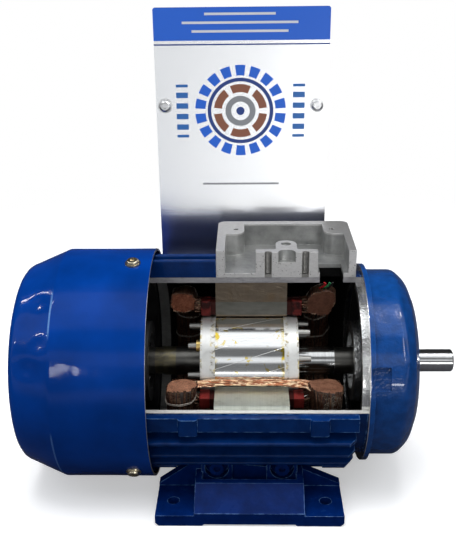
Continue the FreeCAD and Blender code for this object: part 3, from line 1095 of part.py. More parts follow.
def terminal_box_base():
    """Cast box without its lid, sawn through level with the shaft, with the terminal-board boss."""
    outside = box(BOX_REAR_X, BOX_DRIVE_X, 0, BOX_BACK_Y, BOX_SEAT_Z, BOX_RIM_Z)
    corners = [e for e in outside.Edges
               if e.CenterOfMass.y > BOX_BACK_Y - EDGE_TOLERANCE and e.BoundBox.ZLength > BOX_HEIGHT / 2]
    shell = outside.makeFillet(BOX_CORNER_ROUND, corners).cut(box_cavity())
    top = BOARD_BOSS_TOP_Z
    middle = BOARD_BOSS_X
    half = BOARD_LOBE_RADIUS
    boss = [box(BOARD_BOSS_REAR_X, BOARD_BOSS_DRIVE_X, 0, BOARD_BOSS_DEPTH, BOX_SEAT_Z, top),
            upright(BOARD_HUB_RADIUS, middle, 0, BOX_SEAT_Z, top),
            box(middle - half, middle + half, 0, BOARD_LOBE_Y, BOX_SEAT_Z, top),
            upright(half, middle, BOARD_LOBE_Y, BOX_SEAT_Z, top)]
    body = shell.multiFuse(boss)
    below = BOX_SEAT_Z - OVERCUT
    above = BOX_RIM_Z + OVERCUT
    floor = BOX_FLOOR_Z + OVERCUT
    tools = [box(BOX_REAR_X - OVERCUT, BOX_DRIVE_X + OVERCUT, -BIG, 0, below, above),
             box(PASSAGE_REAR_X, PASSAGE_REAR_X + PASSAGE_LENGTH, -OVERCUT, PASSAGE_DEPTH, below, floor),
             upright(BOARD_POCKET_RADIUS, middle, 0, top - BOARD_POCKET_DEPTH, above),
             upright(BOARD_DIMPLE_RADIUS, middle, BOARD_LOBE_Y, top - BOARD_DIMPLE_DEPTH, above)]
    for x in (BOARD_BOSS_REAR_X + BOARD_SCREW_EDGE, BOARD_BOSS_DRIVE_X - BOARD_SCREW_EDGE):
        tools.append(upright(BOARD_SCREW_RADIUS, x, 0, BOX_SEAT_Z + BOARD_SCREW_BOTTOM, above))
    lid_hole_y = BOX_BACK_Y - LID_HOLE_INSET_Y
    for x in (BOX_REAR_X + LID_HOLE_INSET_X, BOX_DRIVE_X - LID_HOLE_INSET_X):
        tools.append(upright(LID_HOLE_RADIUS, x, lid_hole_y, BOX_RIM_Z - LID_HOLE_DEPTH, above))
    for x in BOX_SCREW_XS:
        tools.append(upright(BOX_SCREW_RADIUS + SCREW_CLEARANCE, x, BOX_SCREW_Y, below, floor))
    return body.cut(tools).removeSplitter()


def box_screws():
    """Screws through the floor of the box into the frame seat."""
    screws = []
    for x in BOX_SCREW_XS:
        screws.append(screw(V(x, BOX_SCREW_Y, BOX_FLOOR_Z), Z_AXIS, BOX_SCREW_RADIUS, BOX_SCREW_LENGTH,
                            BOX_SCREW_HEAD_RADIUS, BOX_SCREW_HEAD, COWL_SCREW_SOCKET))
    return Part.makeCompound(screws)


# ---------------------------------------------------------------- feet
def front_foot():
    """Cast foot with two bolt pads, a sloping block between them, a web and two ears for its screws."""
    bottom = -SHAFT_HEIGHT
    pad_top = FOOT_PAD_TOP_Z
    half = FOOT_HALF_LENGTH
    cut = FOOT_CHAMFER
    relief = FOOT_RELIEF_HALF_LENGTH
    hollow = bottom + FOOT_RELIEF
    sole = [(-half, bottom + cut), (cut - half, bottom), (-relief, bottom), (FOOT_RELIEF - relief, hollow),
            (relief - FOOT_RELIEF, hollow), (relief, bottom), (half - cut, bottom), (half, bottom + cut),
            (half, pad_top), (-half, pad_top)]
    plate = prism([V(x, -FOOT_FRONT_Y, z) for x, z in sole], V(0, FOOT_FRONT_Y - FOOT_WEB_INNER_Y, 0))
    block_half = FOOT_BLOCK_HALF_LENGTH
    block_top = pad_top + FOOT_BLOCK_HEIGHT
    block_top_y = FOOT_FRONT_Y - FOOT_BLOCK_SLOPE
    slope = [(-FOOT_FRONT_Y, pad_top), (-FOOT_FRONT_Y, pad_top + FOOT_BLOCK_LIP), (-block_top_y, block_top),
             (-FOOT_WEB_INNER_Y, block_top), (-FOOT_WEB_INNER_Y, pad_top)]
    block = prism([V(-block_half, y, z) for y, z in slope], V(2 * block_half, 0, 0))
    pocket = box(FOOT_BLOCK_WALL - block_half, block_half - FOOT_BLOCK_WALL, FOOT_BLOCK_WALL - block_top_y,
                 -FOOT_WEB_OUTER_Y, pad_top + FOOT_POCKET_FLOOR, 0)
    shoulder_x = FOOT_WEB_SHOULDER_X
    web_outline = [(-half, 0), (-half, FOOT_WEB_END_HEIGHT), (-shoulder_x, FOOT_WEB_REAR_HEIGHT),
                   (shoulder_x, FOOT_WEB_DRIVE_HEIGHT), (half, FOOT_WEB_END_HEIGHT), (half, 0)]
    web = prism([V(x, -FOOT_WEB_OUTER_Y, pad_top + z) for x, z in web_outline], V(0, FOOT_WEB_THICKNESS, 0))
    pieces = [block.cut(pocket), web]
    for x in FOOT_EAR_XS:
        wide = FOOT_EAR_WIDTH / 2
        pieces.append(box(x - wide, x + wide, -FOOT_EAR_FACE_Y, -FOOT_WEB_INNER_Y, pad_top, FOOT_EAR_TOP_Z))
    body = plate.multiFuse(pieces)
    tools = [disc_x(FRAME_WALL_RADIUS + SCREW_CLEARANCE, -BIG, BIG)]
    for side in (-1, 1):
        x = side * FOOT_HOLES_LONG / 2
        y = -FOOT_HOLES_WIDE / 2
        tools.append(cylinder(FOOT_HOLE_RADIUS, V(x, y, bottom - OVERCUT), V(x, y, pad_top + OVERCUT)))
    for x in FOOT_EAR_XS:
        outside = V(x, -FOOT_EAR_FACE_Y - OVERCUT, FOOT_SCREW_Z)
        seat = V(x, FOOT_COUNTERBORE_DEPTH - FOOT_EAR_FACE_Y, FOOT_SCREW_Z)
        behind = V(x, OVERCUT - FOOT_WEB_INNER_Y, FOOT_SCREW_Z)
        tools.append(cylinder(FOOT_SCREW_RADIUS + SCREW_CLEARANCE, outside, behind))
        tools.append(cylinder(FOOT_COUNTERBORE_RADIUS, outside, seat))
    return body.cut(tools).removeSplitter()


def foot_fixings():
    """Four socket-head screws and their washers, two on each foot."""
    screws = []
    washers = []
    for x in FOOT_EAR_XS:
        seat = V(x, FOOT_COUNTERBORE_DEPTH - FOOT_EAR_FACE_Y, FOOT_SCREW_Z)
        out = Y_AXIS * -1
        head_seat = seat + out * FOOT_WASHER_THICKNESS
        shank = FOOT_SCREW_GRIP - FOOT_WEB_INNER_Y - head_seat.y
        screws.append(screw(head_seat, out, FOOT_SCREW_RADIUS, shank, FOOT_SCREW_HEAD_RADIUS,
                            FOOT_SCREW_HEAD, FOOT_SCREW_SOCKET))
        washers.append(washer(seat, out, FOOT_WASHER_RADIUS, FOOT_SCREW_RADIUS + SCREW_CLEARANCE,
                              FOOT_WASHER_THICKNESS))
    for group in (screws, washers):
        group.extend([mirrored_front_to_back(piece) for piece in list(group)])
    return Part.makeCompound(screws), Part.makeCompound(washers)


# ---------------------------------------------------------------- tie bolts
def tie_bolts():
    """Long bolts from the drive flange to the rear flange, with a nut at the rear."""
    bolts = []
    nuts = []
    for angle in TIE_ANGLES:
        seat = tie_point(FLANGE_END_X, angle)
        shank = FLANGE_END_X - REAR_FLANGE_END_X + TIE_NUT_THICKNESS + TIE_TAIL
        bolts.append(screw(seat, X_AXIS, TIE_RADIUS, shank, TIE_HEAD_RADIUS, TIE_HEAD, TIE_SOCKET))
        start = tie_point(REAR_FLANGE_END_X, angle)
        nut = hexagon_bar(TIE_HEAD_RADIUS * 2, start, V(-TIE_NUT_THICKNESS, 0, 0))
        nuts.append(nut.cut(cylinder(TIE_RADIUS + FIT_CLEARANCE, start + X_AXIS * OVERCUT,
                                     start - X_AXIS * (TIE_NUT_THICKNESS + OVERCUT))))
    return Part.makeCompound(bolts), Part.makeCompound(nuts)


# ---------------------------------------------------------------- display plate, bracket and fixings
def display_plate():
    """Upright stainless plate behind the motor that carries the picture."""
    plate = box(DISPLAY_REAR_X, DISPLAY_DRIVE_X, DISPLAY_Y, BRACKET_Y, DISPLAY_BOTTOM_Z, DISPLAY_TOP_Z)
    corners = [e for e in plate.Edges if abs(e.Length - DISPLAY_THICKNESS) < EDGE_TOLERANCE]
    plate = plate.makeFillet(DISPLAY_CORNER, corners)
    holes = [cylinder(DISPLAY_SCREW_RADIUS + SCREW_CLEARANCE, V(x, DISPLAY_Y - OVERCUT, DISPLAY_SCREW_Z),
                      V(x, BRACKET_Y + OVERCUT, DISPLAY_SCREW_Z)) for x in DISPLAY_SCREW_XS]
    return plate.cut(holes)


def plate_bracket():
    """Flat steel bracket behind the plate, narrowing to two legs bolted to the rear side pad."""
    x0 = DISPLAY_REAR_X + BRACKET_INSET
    x1 = DISPLAY_DRIVE_X - BRACKET_INSET
    sheet = box(x0, x1, BRACKET_Y, BRACKET_BACK_Y, BRACKET_BOTTOM_Z, BRACKET_TOP_Z)
    corners = [e for e in sheet.Edges if abs(e.Length - BRACKET_THICKNESS) < EDGE_TOLERANCE]
    sheet = sheet.makeFillet(BRACKET_CORNER, corners)
    left, right = PAD_BOSS_XS
    gap = box(left + BRACKET_LEG_HALF_WIDTH, right - BRACKET_LEG_HALF_WIDTH, BRACKET_Y - OVERCUT,
              BRACKET_BACK_Y + OVERCUT, BRACKET_BOTTOM_Z - OVERCUT, DISPLAY_BOTTOM_Z - BRACKET_SHOULDER)
    tools = [gap]
    for x in PAD_BOSS_XS:
        tools.append(cylinder(BRACKET_SCREW_RADIUS + SCREW_CLEARANCE, V(x, BRACKET_Y - OVERCUT, PAD_Z),
                              V(x, BRACKET_BACK_Y + OVERCUT, PAD_Z)))
    for x in DISPLAY_SCREW_XS:
        front = V(x, BRACKET_Y - OVERCUT, DISPLAY_SCREW_Z)
        behind = V(x, BRACKET_BACK_Y + OVERCUT, DISPLAY_SCREW_Z)
        tools.append(cylinder(DISPLAY_SCREW_RADIUS + SCREW_CLEARANCE, front, behind))
    return sheet.cut(tools)


def bracket_fixings():
    """Spacer tubes between the rear pad bosses and the bracket, and the hex screws through them."""
    spacers = []
    screws = []
    for x in PAD_BOSS_XS:
        start = V(x, PAD_BOSS_FACE_Y, PAD_Z)
        spacer = washer(start, Y_AXIS, SPACER_RADIUS, BRACKET_SCREW_RADIUS + SCREW_CLEARANCE,
                        BRACKET_Y - PAD_BOSS_FACE_Y)
        spacers.append(spacer)
        seat = V(x, BRACKET_BACK_Y, PAD_Z)
        shank = cylinder(BRACKET_SCREW_RADIUS, V(x, PAD_BOSS_FACE_Y - BRACKET_SCREW_GRIP, PAD_Z), seat)
        head = hexagon_bar(BRACKET_SCREW_HEAD_WIDTH, seat, Y_AXIS * BRACKET_SCREW_HEAD)
        screws.append(shank.fuse(head))
    return Part.makeCompound(spacers), Part.makeCompound(screws)


def display_fixings():
    """Flanged button-head screws at the front of the plate, hex nuts behind the bracket."""
    screws = []
    nuts = []
    for x in DISPLAY_SCREW_XS:
        seat = V(x, DISPLAY_Y, DISPLAY_SCREW_Z)
        out = Y_AXIS * -1
        shank = DISPLAY_SCREW_FLANGE + BRACKET_BACK_Y - DISPLAY_Y + DISPLAY_NUT_THICKNESS + DISPLAY_SCREW_TAIL
        head = screw(seat + out * DISPLAY_SCREW_FLANGE, out, DISPLAY_SCREW_RADIUS, shank,
                     DISPLAY_SCREW_HEAD_RADIUS, DISPLAY_SCREW_HEAD, DISPLAY_SCREW_SOCKET)
        front = DISPLAY_Y - DISPLAY_SCREW_FLANGE - DISPLAY_SCREW_HEAD
        rim = [e for e in head.Edges
               if abs(e.CenterOfMass.y - front) < EDGE_TOLERANCE and isinstance(e.Curve, Part.Circle)]
        head = head.makeFillet(DISPLAY_SCREW_HEAD_ROUND, rim)
        flange = cylinder(DISPLAY_SCREW_FLANGE_RADIUS, seat + out * DISPLAY_SCREW_FLANGE, seat)
        screws.append(head.fuse(flange))
        start = V(x, BRACKET_BACK_Y, DISPLAY_SCREW_Z)
        nut = hexagon_bar(DISPLAY_NUT_WIDTH, start, Y_AXIS * DISPLAY_NUT_THICKNESS)
        hole = cylinder(DISPLAY_SCREW_RADIUS + FIT_CLEARANCE, start - Y_AXIS * OVERCUT,
                        start + Y_AXIS * (DISPLAY_NUT_THICKNESS + OVERCUT))
        nuts.append(nut.cut(hole))
    return Part.makeCompound(screws), Part.makeCompound(nuts)


# ---------------------------------------------------------------- assembly
def write(name, shape):
    """Lift a piece from the shaft axis to its height above the feet and write it."""
    placed = shape.copy()
    placed.translate(V(0, 0, SHAFT_HEIGHT))
    placed.exportStep("parts/" + name + ".step")
    print(name, len(placed.Solids), placed.isValid(), round(placed.Volume, 1))


def main():
    os.makedirs("parts", exist_ok=True)
    core, cage = rotor_core_and_cage()
    drive_winding = end_winding(DRIVE_WINDING_X, DRIVE_WINDING_WIDTH)
    rear_winding = end_winding(REAR_WINDING_X - REAR_WINDING_WIDTH, REAR_WINDING_WIDTH)
    foot = front_foot()
    foot_screws, foot_washers = foot_fixings()
    cowl_screws, cowl_washers = cowl_fixings()
    bolts, nuts = tie_bolts()
    spacers, bracket_screws = bracket_fixings()
    plate_screws, plate_nuts = display_fixings()
    pieces = {
        "frame_housing": frame_housing(),
        "drive_end_shield": drive_end_shield(),
        "rear_end_shield": rear_end_shield(),
        "fan_cowl": fan_cowl(),
        "cowl_screws": cowl_screws,
        "cowl_washers": cowl_washers,
        "wave_washer": wave_washer(),
        "shaft_seal": shaft_seal(),
        "rotor_shaft": rotor_shaft(),
        "cooling_fan": cooling_fan(),
        "fan_circlip": fan_circlip(),
        "rotor_core": core,
        "rotor_cage": cage,
        "balance_washer": balance_washer(),
        "stator_core": stator_core(),
        "slot_liners": slot_liners(),
        "slot_windings": slot_windings(),
        "drive_end_winding": drive_winding,
        "rear_end_winding": rear_winding,
        "slot_sleeves": slot_sleeves(),
        "lacing_cord": lacing(),
        "lead_wires": lead_wires(drive_winding),
        "terminal_box_base": terminal_box_base(),
        "box_screws": box_screws(),
        "front_foot": foot,
        "rear_foot": mirrored_front_to_back(foot),
        "foot_screws": foot_screws,
        "foot_washers": foot_washers,
        "tie_bolts": bolts,
        "tie_bolt_nuts": nuts,
        "display_plate": display_plate(),
        "plate_bracket": plate_bracket(),
        "bracket_spacers": spacers,
        "bracket_screws": bracket_screws,
        "plate_screws": plate_screws,
        "plate_nuts": plate_nuts,
    }
    for place, start in (("drive", DRIVE_BEARING_X), ("rear", REAR_BEARING_X - BEARING_WIDTH)):
        rings = ("outer_ring", "inner_ring", "balls", "ball_cage")
        for part, shape in zip(rings, bearing(start)):
            pieces[place + "_bearing_" + part] = shape
    for name, shape in pieces.items():
        write(name, shape)


main()
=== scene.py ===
import json
import math
import random

import bmesh
import bpy
from mathutils import Matrix, Vector

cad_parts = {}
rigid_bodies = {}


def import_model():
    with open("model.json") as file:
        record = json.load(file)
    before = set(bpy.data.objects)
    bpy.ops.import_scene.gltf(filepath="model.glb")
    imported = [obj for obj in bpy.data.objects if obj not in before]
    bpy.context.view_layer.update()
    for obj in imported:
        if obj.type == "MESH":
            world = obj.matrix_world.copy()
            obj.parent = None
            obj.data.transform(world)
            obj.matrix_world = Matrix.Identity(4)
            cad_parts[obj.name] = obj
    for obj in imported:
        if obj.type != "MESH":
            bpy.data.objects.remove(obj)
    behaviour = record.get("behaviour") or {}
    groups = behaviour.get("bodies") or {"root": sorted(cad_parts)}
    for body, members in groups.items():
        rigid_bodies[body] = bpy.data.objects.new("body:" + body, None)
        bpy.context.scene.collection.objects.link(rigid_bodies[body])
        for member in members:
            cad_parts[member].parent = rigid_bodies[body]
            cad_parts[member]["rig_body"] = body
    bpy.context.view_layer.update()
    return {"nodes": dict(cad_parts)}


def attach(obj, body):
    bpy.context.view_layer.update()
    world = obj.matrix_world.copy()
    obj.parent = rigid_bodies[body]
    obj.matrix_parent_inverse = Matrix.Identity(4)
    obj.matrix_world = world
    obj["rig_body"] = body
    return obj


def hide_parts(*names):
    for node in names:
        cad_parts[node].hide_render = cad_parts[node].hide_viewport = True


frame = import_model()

SHAFT_HEIGHT = 0.071  # shaft axis above the foot base, metres; every other size is from this axis

# ---------------------------------------------------------------- studio
# The motor stands on a plain pale bench in a white room. A person about half a
# metre away looks slightly down through the sawn window in its side.
LOOK_DOWN = math.radians(21.62)
LOOK_ASIDE = math.radians(-1.49)
HEAD_TILT = math.radians(-0.71)
EYE = Vector((-0.00015, -0.47262, 0.32002))
LENS_PIXELS = 846.88
PICTURE_HEIGHT = 538

ahead = Vector((
    math.sin(LOOK_ASIDE) * math.cos(LOOK_DOWN),
    math.cos(LOOK_ASIDE) * math.cos(LOOK_DOWN),
    -math.sin(LOOK_DOWN),
))
level = Vector((math.cos(LOOK_ASIDE), -math.sin(LOOK_ASIDE), 0))
upright = level.cross(ahead)
right = level * math.cos(HEAD_TILT) + upright * math.sin(HEAD_TILT)
over = upright * math.cos(HEAD_TILT) - level * math.sin(HEAD_TILT)
camera_data = bpy.data.cameras.new("eye")
camera_data.sensor_width = 36
camera_data.lens = LENS_PIXELS * camera_data.sensor_width / PICTURE_HEIGHT
camera_data.clip_start = 0.01
camera_data.clip_end = 20
camera = bpy.data.objects.new("eye", camera_data)
camera.matrix_world = Matrix((
    (right.x, over.x, -ahead.x, EYE.x),
    (right.y, over.y, -ahead.y, EYE.y),
    (right.z, over.z, -ahead.z, EYE.z),
    (0, 0, 0, 1),
))
bpy.context.scene.collection.objects.link(camera)
bpy.context.scene.camera = camera
bpy.context.scene.view_settings.view_transform = "Standard"


def soft_light(name, place, aim, width, depth, watts, glint_only=False):
    """A rectangular studio light at a place, facing a point; a glint only shows in glossy faces."""
    lamp = bpy.data.lights.new(name, "AREA")
    lamp.shape = "ELLIPSE" if glint_only else "RECTANGLE"
    lamp.size = width
    lamp.size_y = depth
    lamp.energy = watts
    holder = bpy.data.objects.new(name, lamp)
    holder.location = place
    holder.rotation_euler = (Vector(aim) - Vector(place)).to_track_quat("-Z", "Y").to_euler()
    holder.visible_diffuse = not glint_only
    holder.visible_glossy = glint_only
    bpy.context.scene.collection.objects.link(holder)


soft_light("ceiling_panel", (-0.05, 0.02, 1.30), (0, 0, 0.05), 1.0, 0.7, 13)
soft_light("front_fill", (-0.30, -1.20, 0.70), (0, 0, 0.08), 0.6, 0.5, 1.2)
soft_light("window_left", (-0.40, -1.18, 0.43), (-0.08, -0.05, 0.08), 0.04, 0.16, 0.6, True)
soft_light("roof_light", (-0.56, -0.06, 1.00), (-0.11, 0, 0.12), 0.02, 0.34, 1.2, True)
soft_light("window_side", (-1.15, -0.31, 0.60), (-0.11, 0, 0.08), 0.03, 0.05, 0.45, True)
soft_light("window_behind", (-0.95, 0.34, 0.80), (-0.12, 0, 0.08), 0.03, 0.08, 0.7, True)
soft_light("window_right", (0.70, -0.75, 0.75), (0.08, 0, 0.08), 0.05, 0.60, 4, True)
soft_light("low_window_right", (0.33, -1.05, 0.05), (0.09, 0, 0.08), 0.34, 0.05, 0.8, True)
soft_light("low_window_middle", (-0.01, -1.05, 0.045), (0.0, 0, 0.08), 0.28, 0.03, 0.08, True)
soft_light("ceiling_lamp", (0.45, -0.10, 1.25), (0.08, 0, 0.1), 0.05, 0.30, 4, True)

# the room as the motor sees it, by the angle up from the front: pale floor, dark
# furniture, a window, a dark wall, a bright ceiling and a dark wall behind
room = bpy.data.worlds.new("white_room")
room.use_nodes = True
room_tree = room.node_tree
room_light = room_tree.nodes["Background"]
room_light.inputs["Color"].default_value = (0.94, 0.97, 1.0, 1)
room_way = room_tree.nodes.new("ShaderNodeTexCoord")
room_parts = room_tree.nodes.new("ShaderNodeSeparateXYZ")
room_tree.links.new(room_way.outputs["Generated"], room_parts.inputs[0])
room_front = room_tree.nodes.new("ShaderNodeMath")
room_front.operation = "MULTIPLY"
room_front.inputs[1].default_value = -1
room_tree.links.new(room_parts.outputs[1], room_front.inputs[0])
room_angle = room_tree.nodes.new("ShaderNodeMath")
room_angle.operation = "ARCTAN2"
room_tree.links.new(room_parts.outputs[2], room_angle.inputs[0])
room_tree.links.new(room_front.outputs[0], room_angle.inputs[1])
room_turn = room_tree.nodes.new("ShaderNodeMapRange")
for key, value in ((1, -math.pi), (2, math.pi)):
    room_turn.inputs[key].default_value = value
room_tree.links.new(room_angle.outputs[0], room_turn.inputs[0])
room_bands = room_tree.nodes.new("ShaderNodeValToRGB")
ROOM_BANDS = ((-179, 0.06), (-90, 0.03), (-30, 0.08), (-20, 0.60), (-9, 0.86), (-4, 0.92), (3, 0.24),
              (20, 0.20), (24, 1.15), (33, 1.15), (37, 0.20), (55, 0.20), (62, 1.45), (96, 1.45),
              (100, 0.30), (107, 0.03), (179, 0.05))
for number, (angle, brightness) in enumerate(ROOM_BANDS):
    place = (angle + 180) / 360
    if number < 2:
        stop = room_bands.color_ramp.elements[number]
        stop.position = place
    else:
        stop = room_bands.color_ramp.elements.new(place)
    stop.color = (brightness, brightness, brightness, 1)
room_tree.links.new(room_turn.outputs[0], room_bands.inputs[0])
room_tree.links.new(room_bands.outputs[0], room_light.inputs["Strength"])
room_wall = room_tree.nodes.new("ShaderNodeBackground")
room_wall.inputs["Color"].default_value = (1, 1, 1, 1)
seen = room_tree.nodes.new("ShaderNodeLightPath")
room_mix = room_tree.nodes.new("ShaderNodeMixShader")
room_tree.links.new(seen.outputs["Is Camera Ray"], room_mix.inputs[0])
room_tree.links.new(room_light.outputs[0], room_mix.inputs[1])
room_tree.links.new(room_wall.outputs[0], room_mix.inputs[2])
room_tree.links.new(room_mix.outputs[0], room_tree.nodes["World Output"].inputs[0])
bpy.context.scene.world = room

bpy.ops.mesh.primitive_plane_add(size=6, location=(0, 0, -0.0003))
bench = bpy.context.object
bench.name = "bench"
bench_paint = bpy.data.materials.new("pale_bench")
bench_paint.use_nodes = True
bench_tree = bench_paint.node_tree
bench_shader = bench_tree.nodes["Principled BSDF"]
bench_shader.inputs["Roughness"].default_value = 0.8
bench_shader.inputs["Specular IOR Level"].default_value = 0.1
bench_seen = bench_tree.nodes.new("ShaderNodeLightPath")
bench_tone = bench_tree.nodes.new("ShaderNodeMix")
bench_tone.data_type = "RGBA"
bench_tone.inputs[6].default_value = (0.09, 0.09, 0.10, 1)
bench_tone.inputs[7].default_value = (0.88, 0.88, 0.89, 1)
bench_tree.links.new(bench_seen.outputs["Is Camera Ray"], bench_tone.inputs[0])
bench_tree.links.new(bench_tone.outputs[2], bench_shader.inputs["Base Color"])
bench_spot = bench_tree.nodes.new("ShaderNodeTexCoord")
bench_reach = bench_tree.nodes.new("ShaderNodeVectorMath")
bench_reach.operation = "LENGTH"
bench_tree.links.new(bench_spot.outputs["Object"], bench_reach.inputs[0])
bench_fade = bench_tree.nodes.new("ShaderNodeMapRange")
for key, value in ((1, 0.28), (2, 0.62), (3, 1.0), (4, 0.0)):
    bench_fade.inputs[key].default_value = value
bench_tree.links.new(bench_reach.outputs["Value"], bench_fade.inputs[0])
bench_tree.links.new(bench_fade.outputs[0], bench_shader.inputs["Alpha"])
bench_lift = bench_tree.nodes.new("ShaderNodeMath")
bench_lift.operation = "MULTIPLY"
bench_lift.inputs[1].default_value = 0.40
bench_tree.links.new(bench_seen.outputs["Is Camera Ray"], bench_lift.inputs[0])
bench_shader.inputs["Emission Color"].default_value = (1, 1, 1, 1)
bench_tree.links.new(bench_lift.outputs[0], bench_shader.inputs["Emission Strength"])
bench.data.materials.append(bench_paint)

# ---------------------------------------------------------------- frame
# Die-cast aluminium stator frame with lengthwise cooling fins, sprayed blue; its bore is
# near-black, grime and painted shade. A quarter is sawn out of its side, which leaves bare cut strips.
MM = 0.001
FRAME_BORE = 52.7 * MM
FRAME_WALL = 56.1 * MM
CUT_SLACK = 0.25 * MM
WINDOW_FLOOR = -4.26 * MM
FRAME_BLUE = (0.001, 0.020, 0.105)
# paler blue on the frame's rounded edges: a painted highlight
FRAME_EDGE_HIGHLIGHT = (0.12, 0.27, 0.58)
SHADE_AND_GRIME_BLACK = (0.006, 0.006, 0.006)
ENAMEL_COAT = 0.2
SAWN_ALUMINIUM = (0.78, 0.77, 0.745)


def node(tree, kind, feeds=None, **settings):
    """A shader node; feeds gives its inputs values or other nodes' outputs."""
    made = tree.nodes.new("ShaderNode" + kind)
    for setting, value in settings.items():
        setattr(made, setting, value)
    for key, value in (feeds or {}).items():
        if isinstance(value, bpy.types.NodeSocket):
            tree.links.new(value, made.inputs[key])
        else:
            made.inputs[key].default_value = value
    return made


def maths(tree, operation, first, second=0.0, clamp=False):
    return node(tree, "Math", {0: first, 1: second}, operation=operation, use_clamp=clamp).outputs[0]


def within(tree, value, low, high, soft):
    """1 where value lies between low and high, fading to 0 over the soft width outside."""
    rise = node(tree, "MapRange", {0: value, 1: low - soft, 2: low},
                interpolation_type="SMOOTHSTEP").outputs[0]
    fall = node(tree, "MapRange", {0: value, 1: high, 2: high + soft, 3: 1.0, 4: 0.0},
                interpolation_type="SMOOTHSTEP").outputs[0]
    return maths(tree, "MULTIPLY", rise, fall)


def blend_values(tree, mask, under, top):
    return node(tree, "Mix", {0: mask, 2: under, 3: top}, data_type="FLOAT").outputs[0]


def blend_colours(tree, mask, under, top):
    feeds = {0: mask}
    for key, colour in ((6, under), (7, top)):
        feeds[key] = colour if isinstance(colour, bpy.types.NodeSocket) else (*colour, 1)
    return node(tree, "Mix", feeds, data_type="RGBA").outputs[2]


def speckle(tree, where, size, detail=3.0, harshness=0.55, warp=0.0):
    """Noise whose lumps are about size metres across."""
    feeds = {"Vector": where, "Scale": 1 / size, "Detail": detail, "Roughness": harshness, "Distortion": warp}
    return node(tree, "TexNoise", feeds).outputs[0]


def stretched(tree, where, along, out, up):
    return node(tree, "VectorMath", {0: where, 1: (along, out, up)}, operation="MULTIPLY").outputs[0]


def relief(tree, height, depth, under=None, strength=1.0):
    """A bump of a real depth in metres."""
    feeds = {"Height": height, "Distance": depth, "Strength": strength}
    if under is not None:
        feeds["Normal"] = under
    return node(tree, "Bump", feeds).outputs[0]


def new_finish(name, colour, roughness, metallic=0.0, **sockets):
    """A material whose shader has these constants; gives (material, node tree, shader)."""
    finish = bpy.data.materials.new(name)
    finish.use_nodes = True
    shader = finish.node_tree.nodes["Principled BSDF"]
    shader.inputs["Base Color"].default_value = (*colour, 1)
    shader.inputs["Roughness"].default_value = roughness
    shader.inputs["Metallic"].default_value = metallic
    for name_of_socket, value in sockets.items():
        shader.inputs[name_of_socket.replace("_", " ")].default_value = value
    return finish, finish.node_tree, shader


def dress(shader, tree, **outputs):
    """Links outputs to the shader's sockets of these names."""
    for name_of_socket, output in outputs.items():
        tree.links.new(output, shader.inputs[name_of_socket.replace("_", " ")])


def new_effect(name, inputs, outputs):
    """An empty shader group with named inputs (name: default) and outputs (name: socket kind)."""
    effect = bpy.data.node_groups.new(name, "ShaderNodeTree")
    for socket, value in inputs.items():
        made = effect.interface.new_socket(name=socket, in_out="INPUT", socket_type="NodeSocketFloat")
        made.default_value = value
    for socket, kind in outputs.items():
        effect.interface.new_socket(name=socket, in_out="OUTPUT", socket_type="NodeSocket" + kind)
    return effect, effect.nodes.new("NodeGroupInput"), effect.nodes.new("NodeGroupOutput")


def use_effect(tree, effect, **feeds):
    made = tree.nodes.new("ShaderNodeGroup")
    made.node_tree = effect
    for key, value in feeds.items():
        if isinstance(value, bpy.types.NodeSocket):
            tree.links.new(value, made.inputs[key])
        else:
            made.inputs[key].default_value = value
    return made.outputs


# place about the shaft axis: every machined or cut face is told from it
axis_place, _, place_out = new_effect(
    "axis_place", {}, {"Along": "Float", "Out": "Float", "Up": "Float", "Radius": "Float", "Place": "Vector"})
spot = node(axis_place, "TexCoord").outputs["Object"]
parts_of_spot = node(axis_place, "SeparateXYZ", {0: spot}).outputs
up_of_axis = maths(axis_place, "SUBTRACT", parts_of_spot[2], SHAFT_HEIGHT)
squares = maths(axis_place, "ADD", maths(axis_place, "MULTIPLY", parts_of_spot[1], parts_of_spot[1]),
                maths(axis_place, "MULTIPLY", up_of_axis, up_of_axis))
axis_place.links.new(parts_of_spot[0], place_out.inputs["Along"])
axis_place.links.new(parts_of_spot[1], place_out.inputs["Out"])
axis_place.links.new(up_of_axis, place_out.inputs["Up"])
axis_place.links.new(maths(axis_place, "SQRT", squares), place_out.inputs["Radius"])
axis_place.links.new(spot, place_out.inputs["Place"])

# sprayed enamel: slow waves of the casting or sheet under it, and a fine orange peel
enamel_skin, skin_in, skin_out = new_effect(
    "enamel_skin", {"Lump": 0.012, "Lump share": 0.6, "Peel": 0.0016}, {"Height": "Float", "Tone": "Float"})
spot = node(enamel_skin, "TexCoord").outputs["Object"]
lumps = node(enamel_skin, "TexNoise", {"Vector": spot, "Detail": 3.0, "Scale": maths(
    enamel_skin, "DIVIDE", 1.0, skin_in.outputs["Lump"])}).outputs[0]
peel = node(enamel_skin, "TexNoise", {"Vector": spot, "Detail": 1.0, "Scale": maths(
    enamel_skin, "DIVIDE", 1.0, skin_in.outputs["Peel"])}).outputs[0]
lump_part = maths(enamel_skin, "MULTIPLY", lumps, skin_in.outputs["Lump share"])
peel_part = maths(enamel_skin, "MULTIPLY", peel,
                  maths(enamel_skin, "SUBTRACT", 1.0, skin_in.outputs["Lump share"]))
enamel_skin.links.new(maths(enamel_skin, "ADD", lump_part, peel_part), skin_out.inputs["Height"])
enamel_skin.links.new(lumps, skin_out.inputs["Tone"])
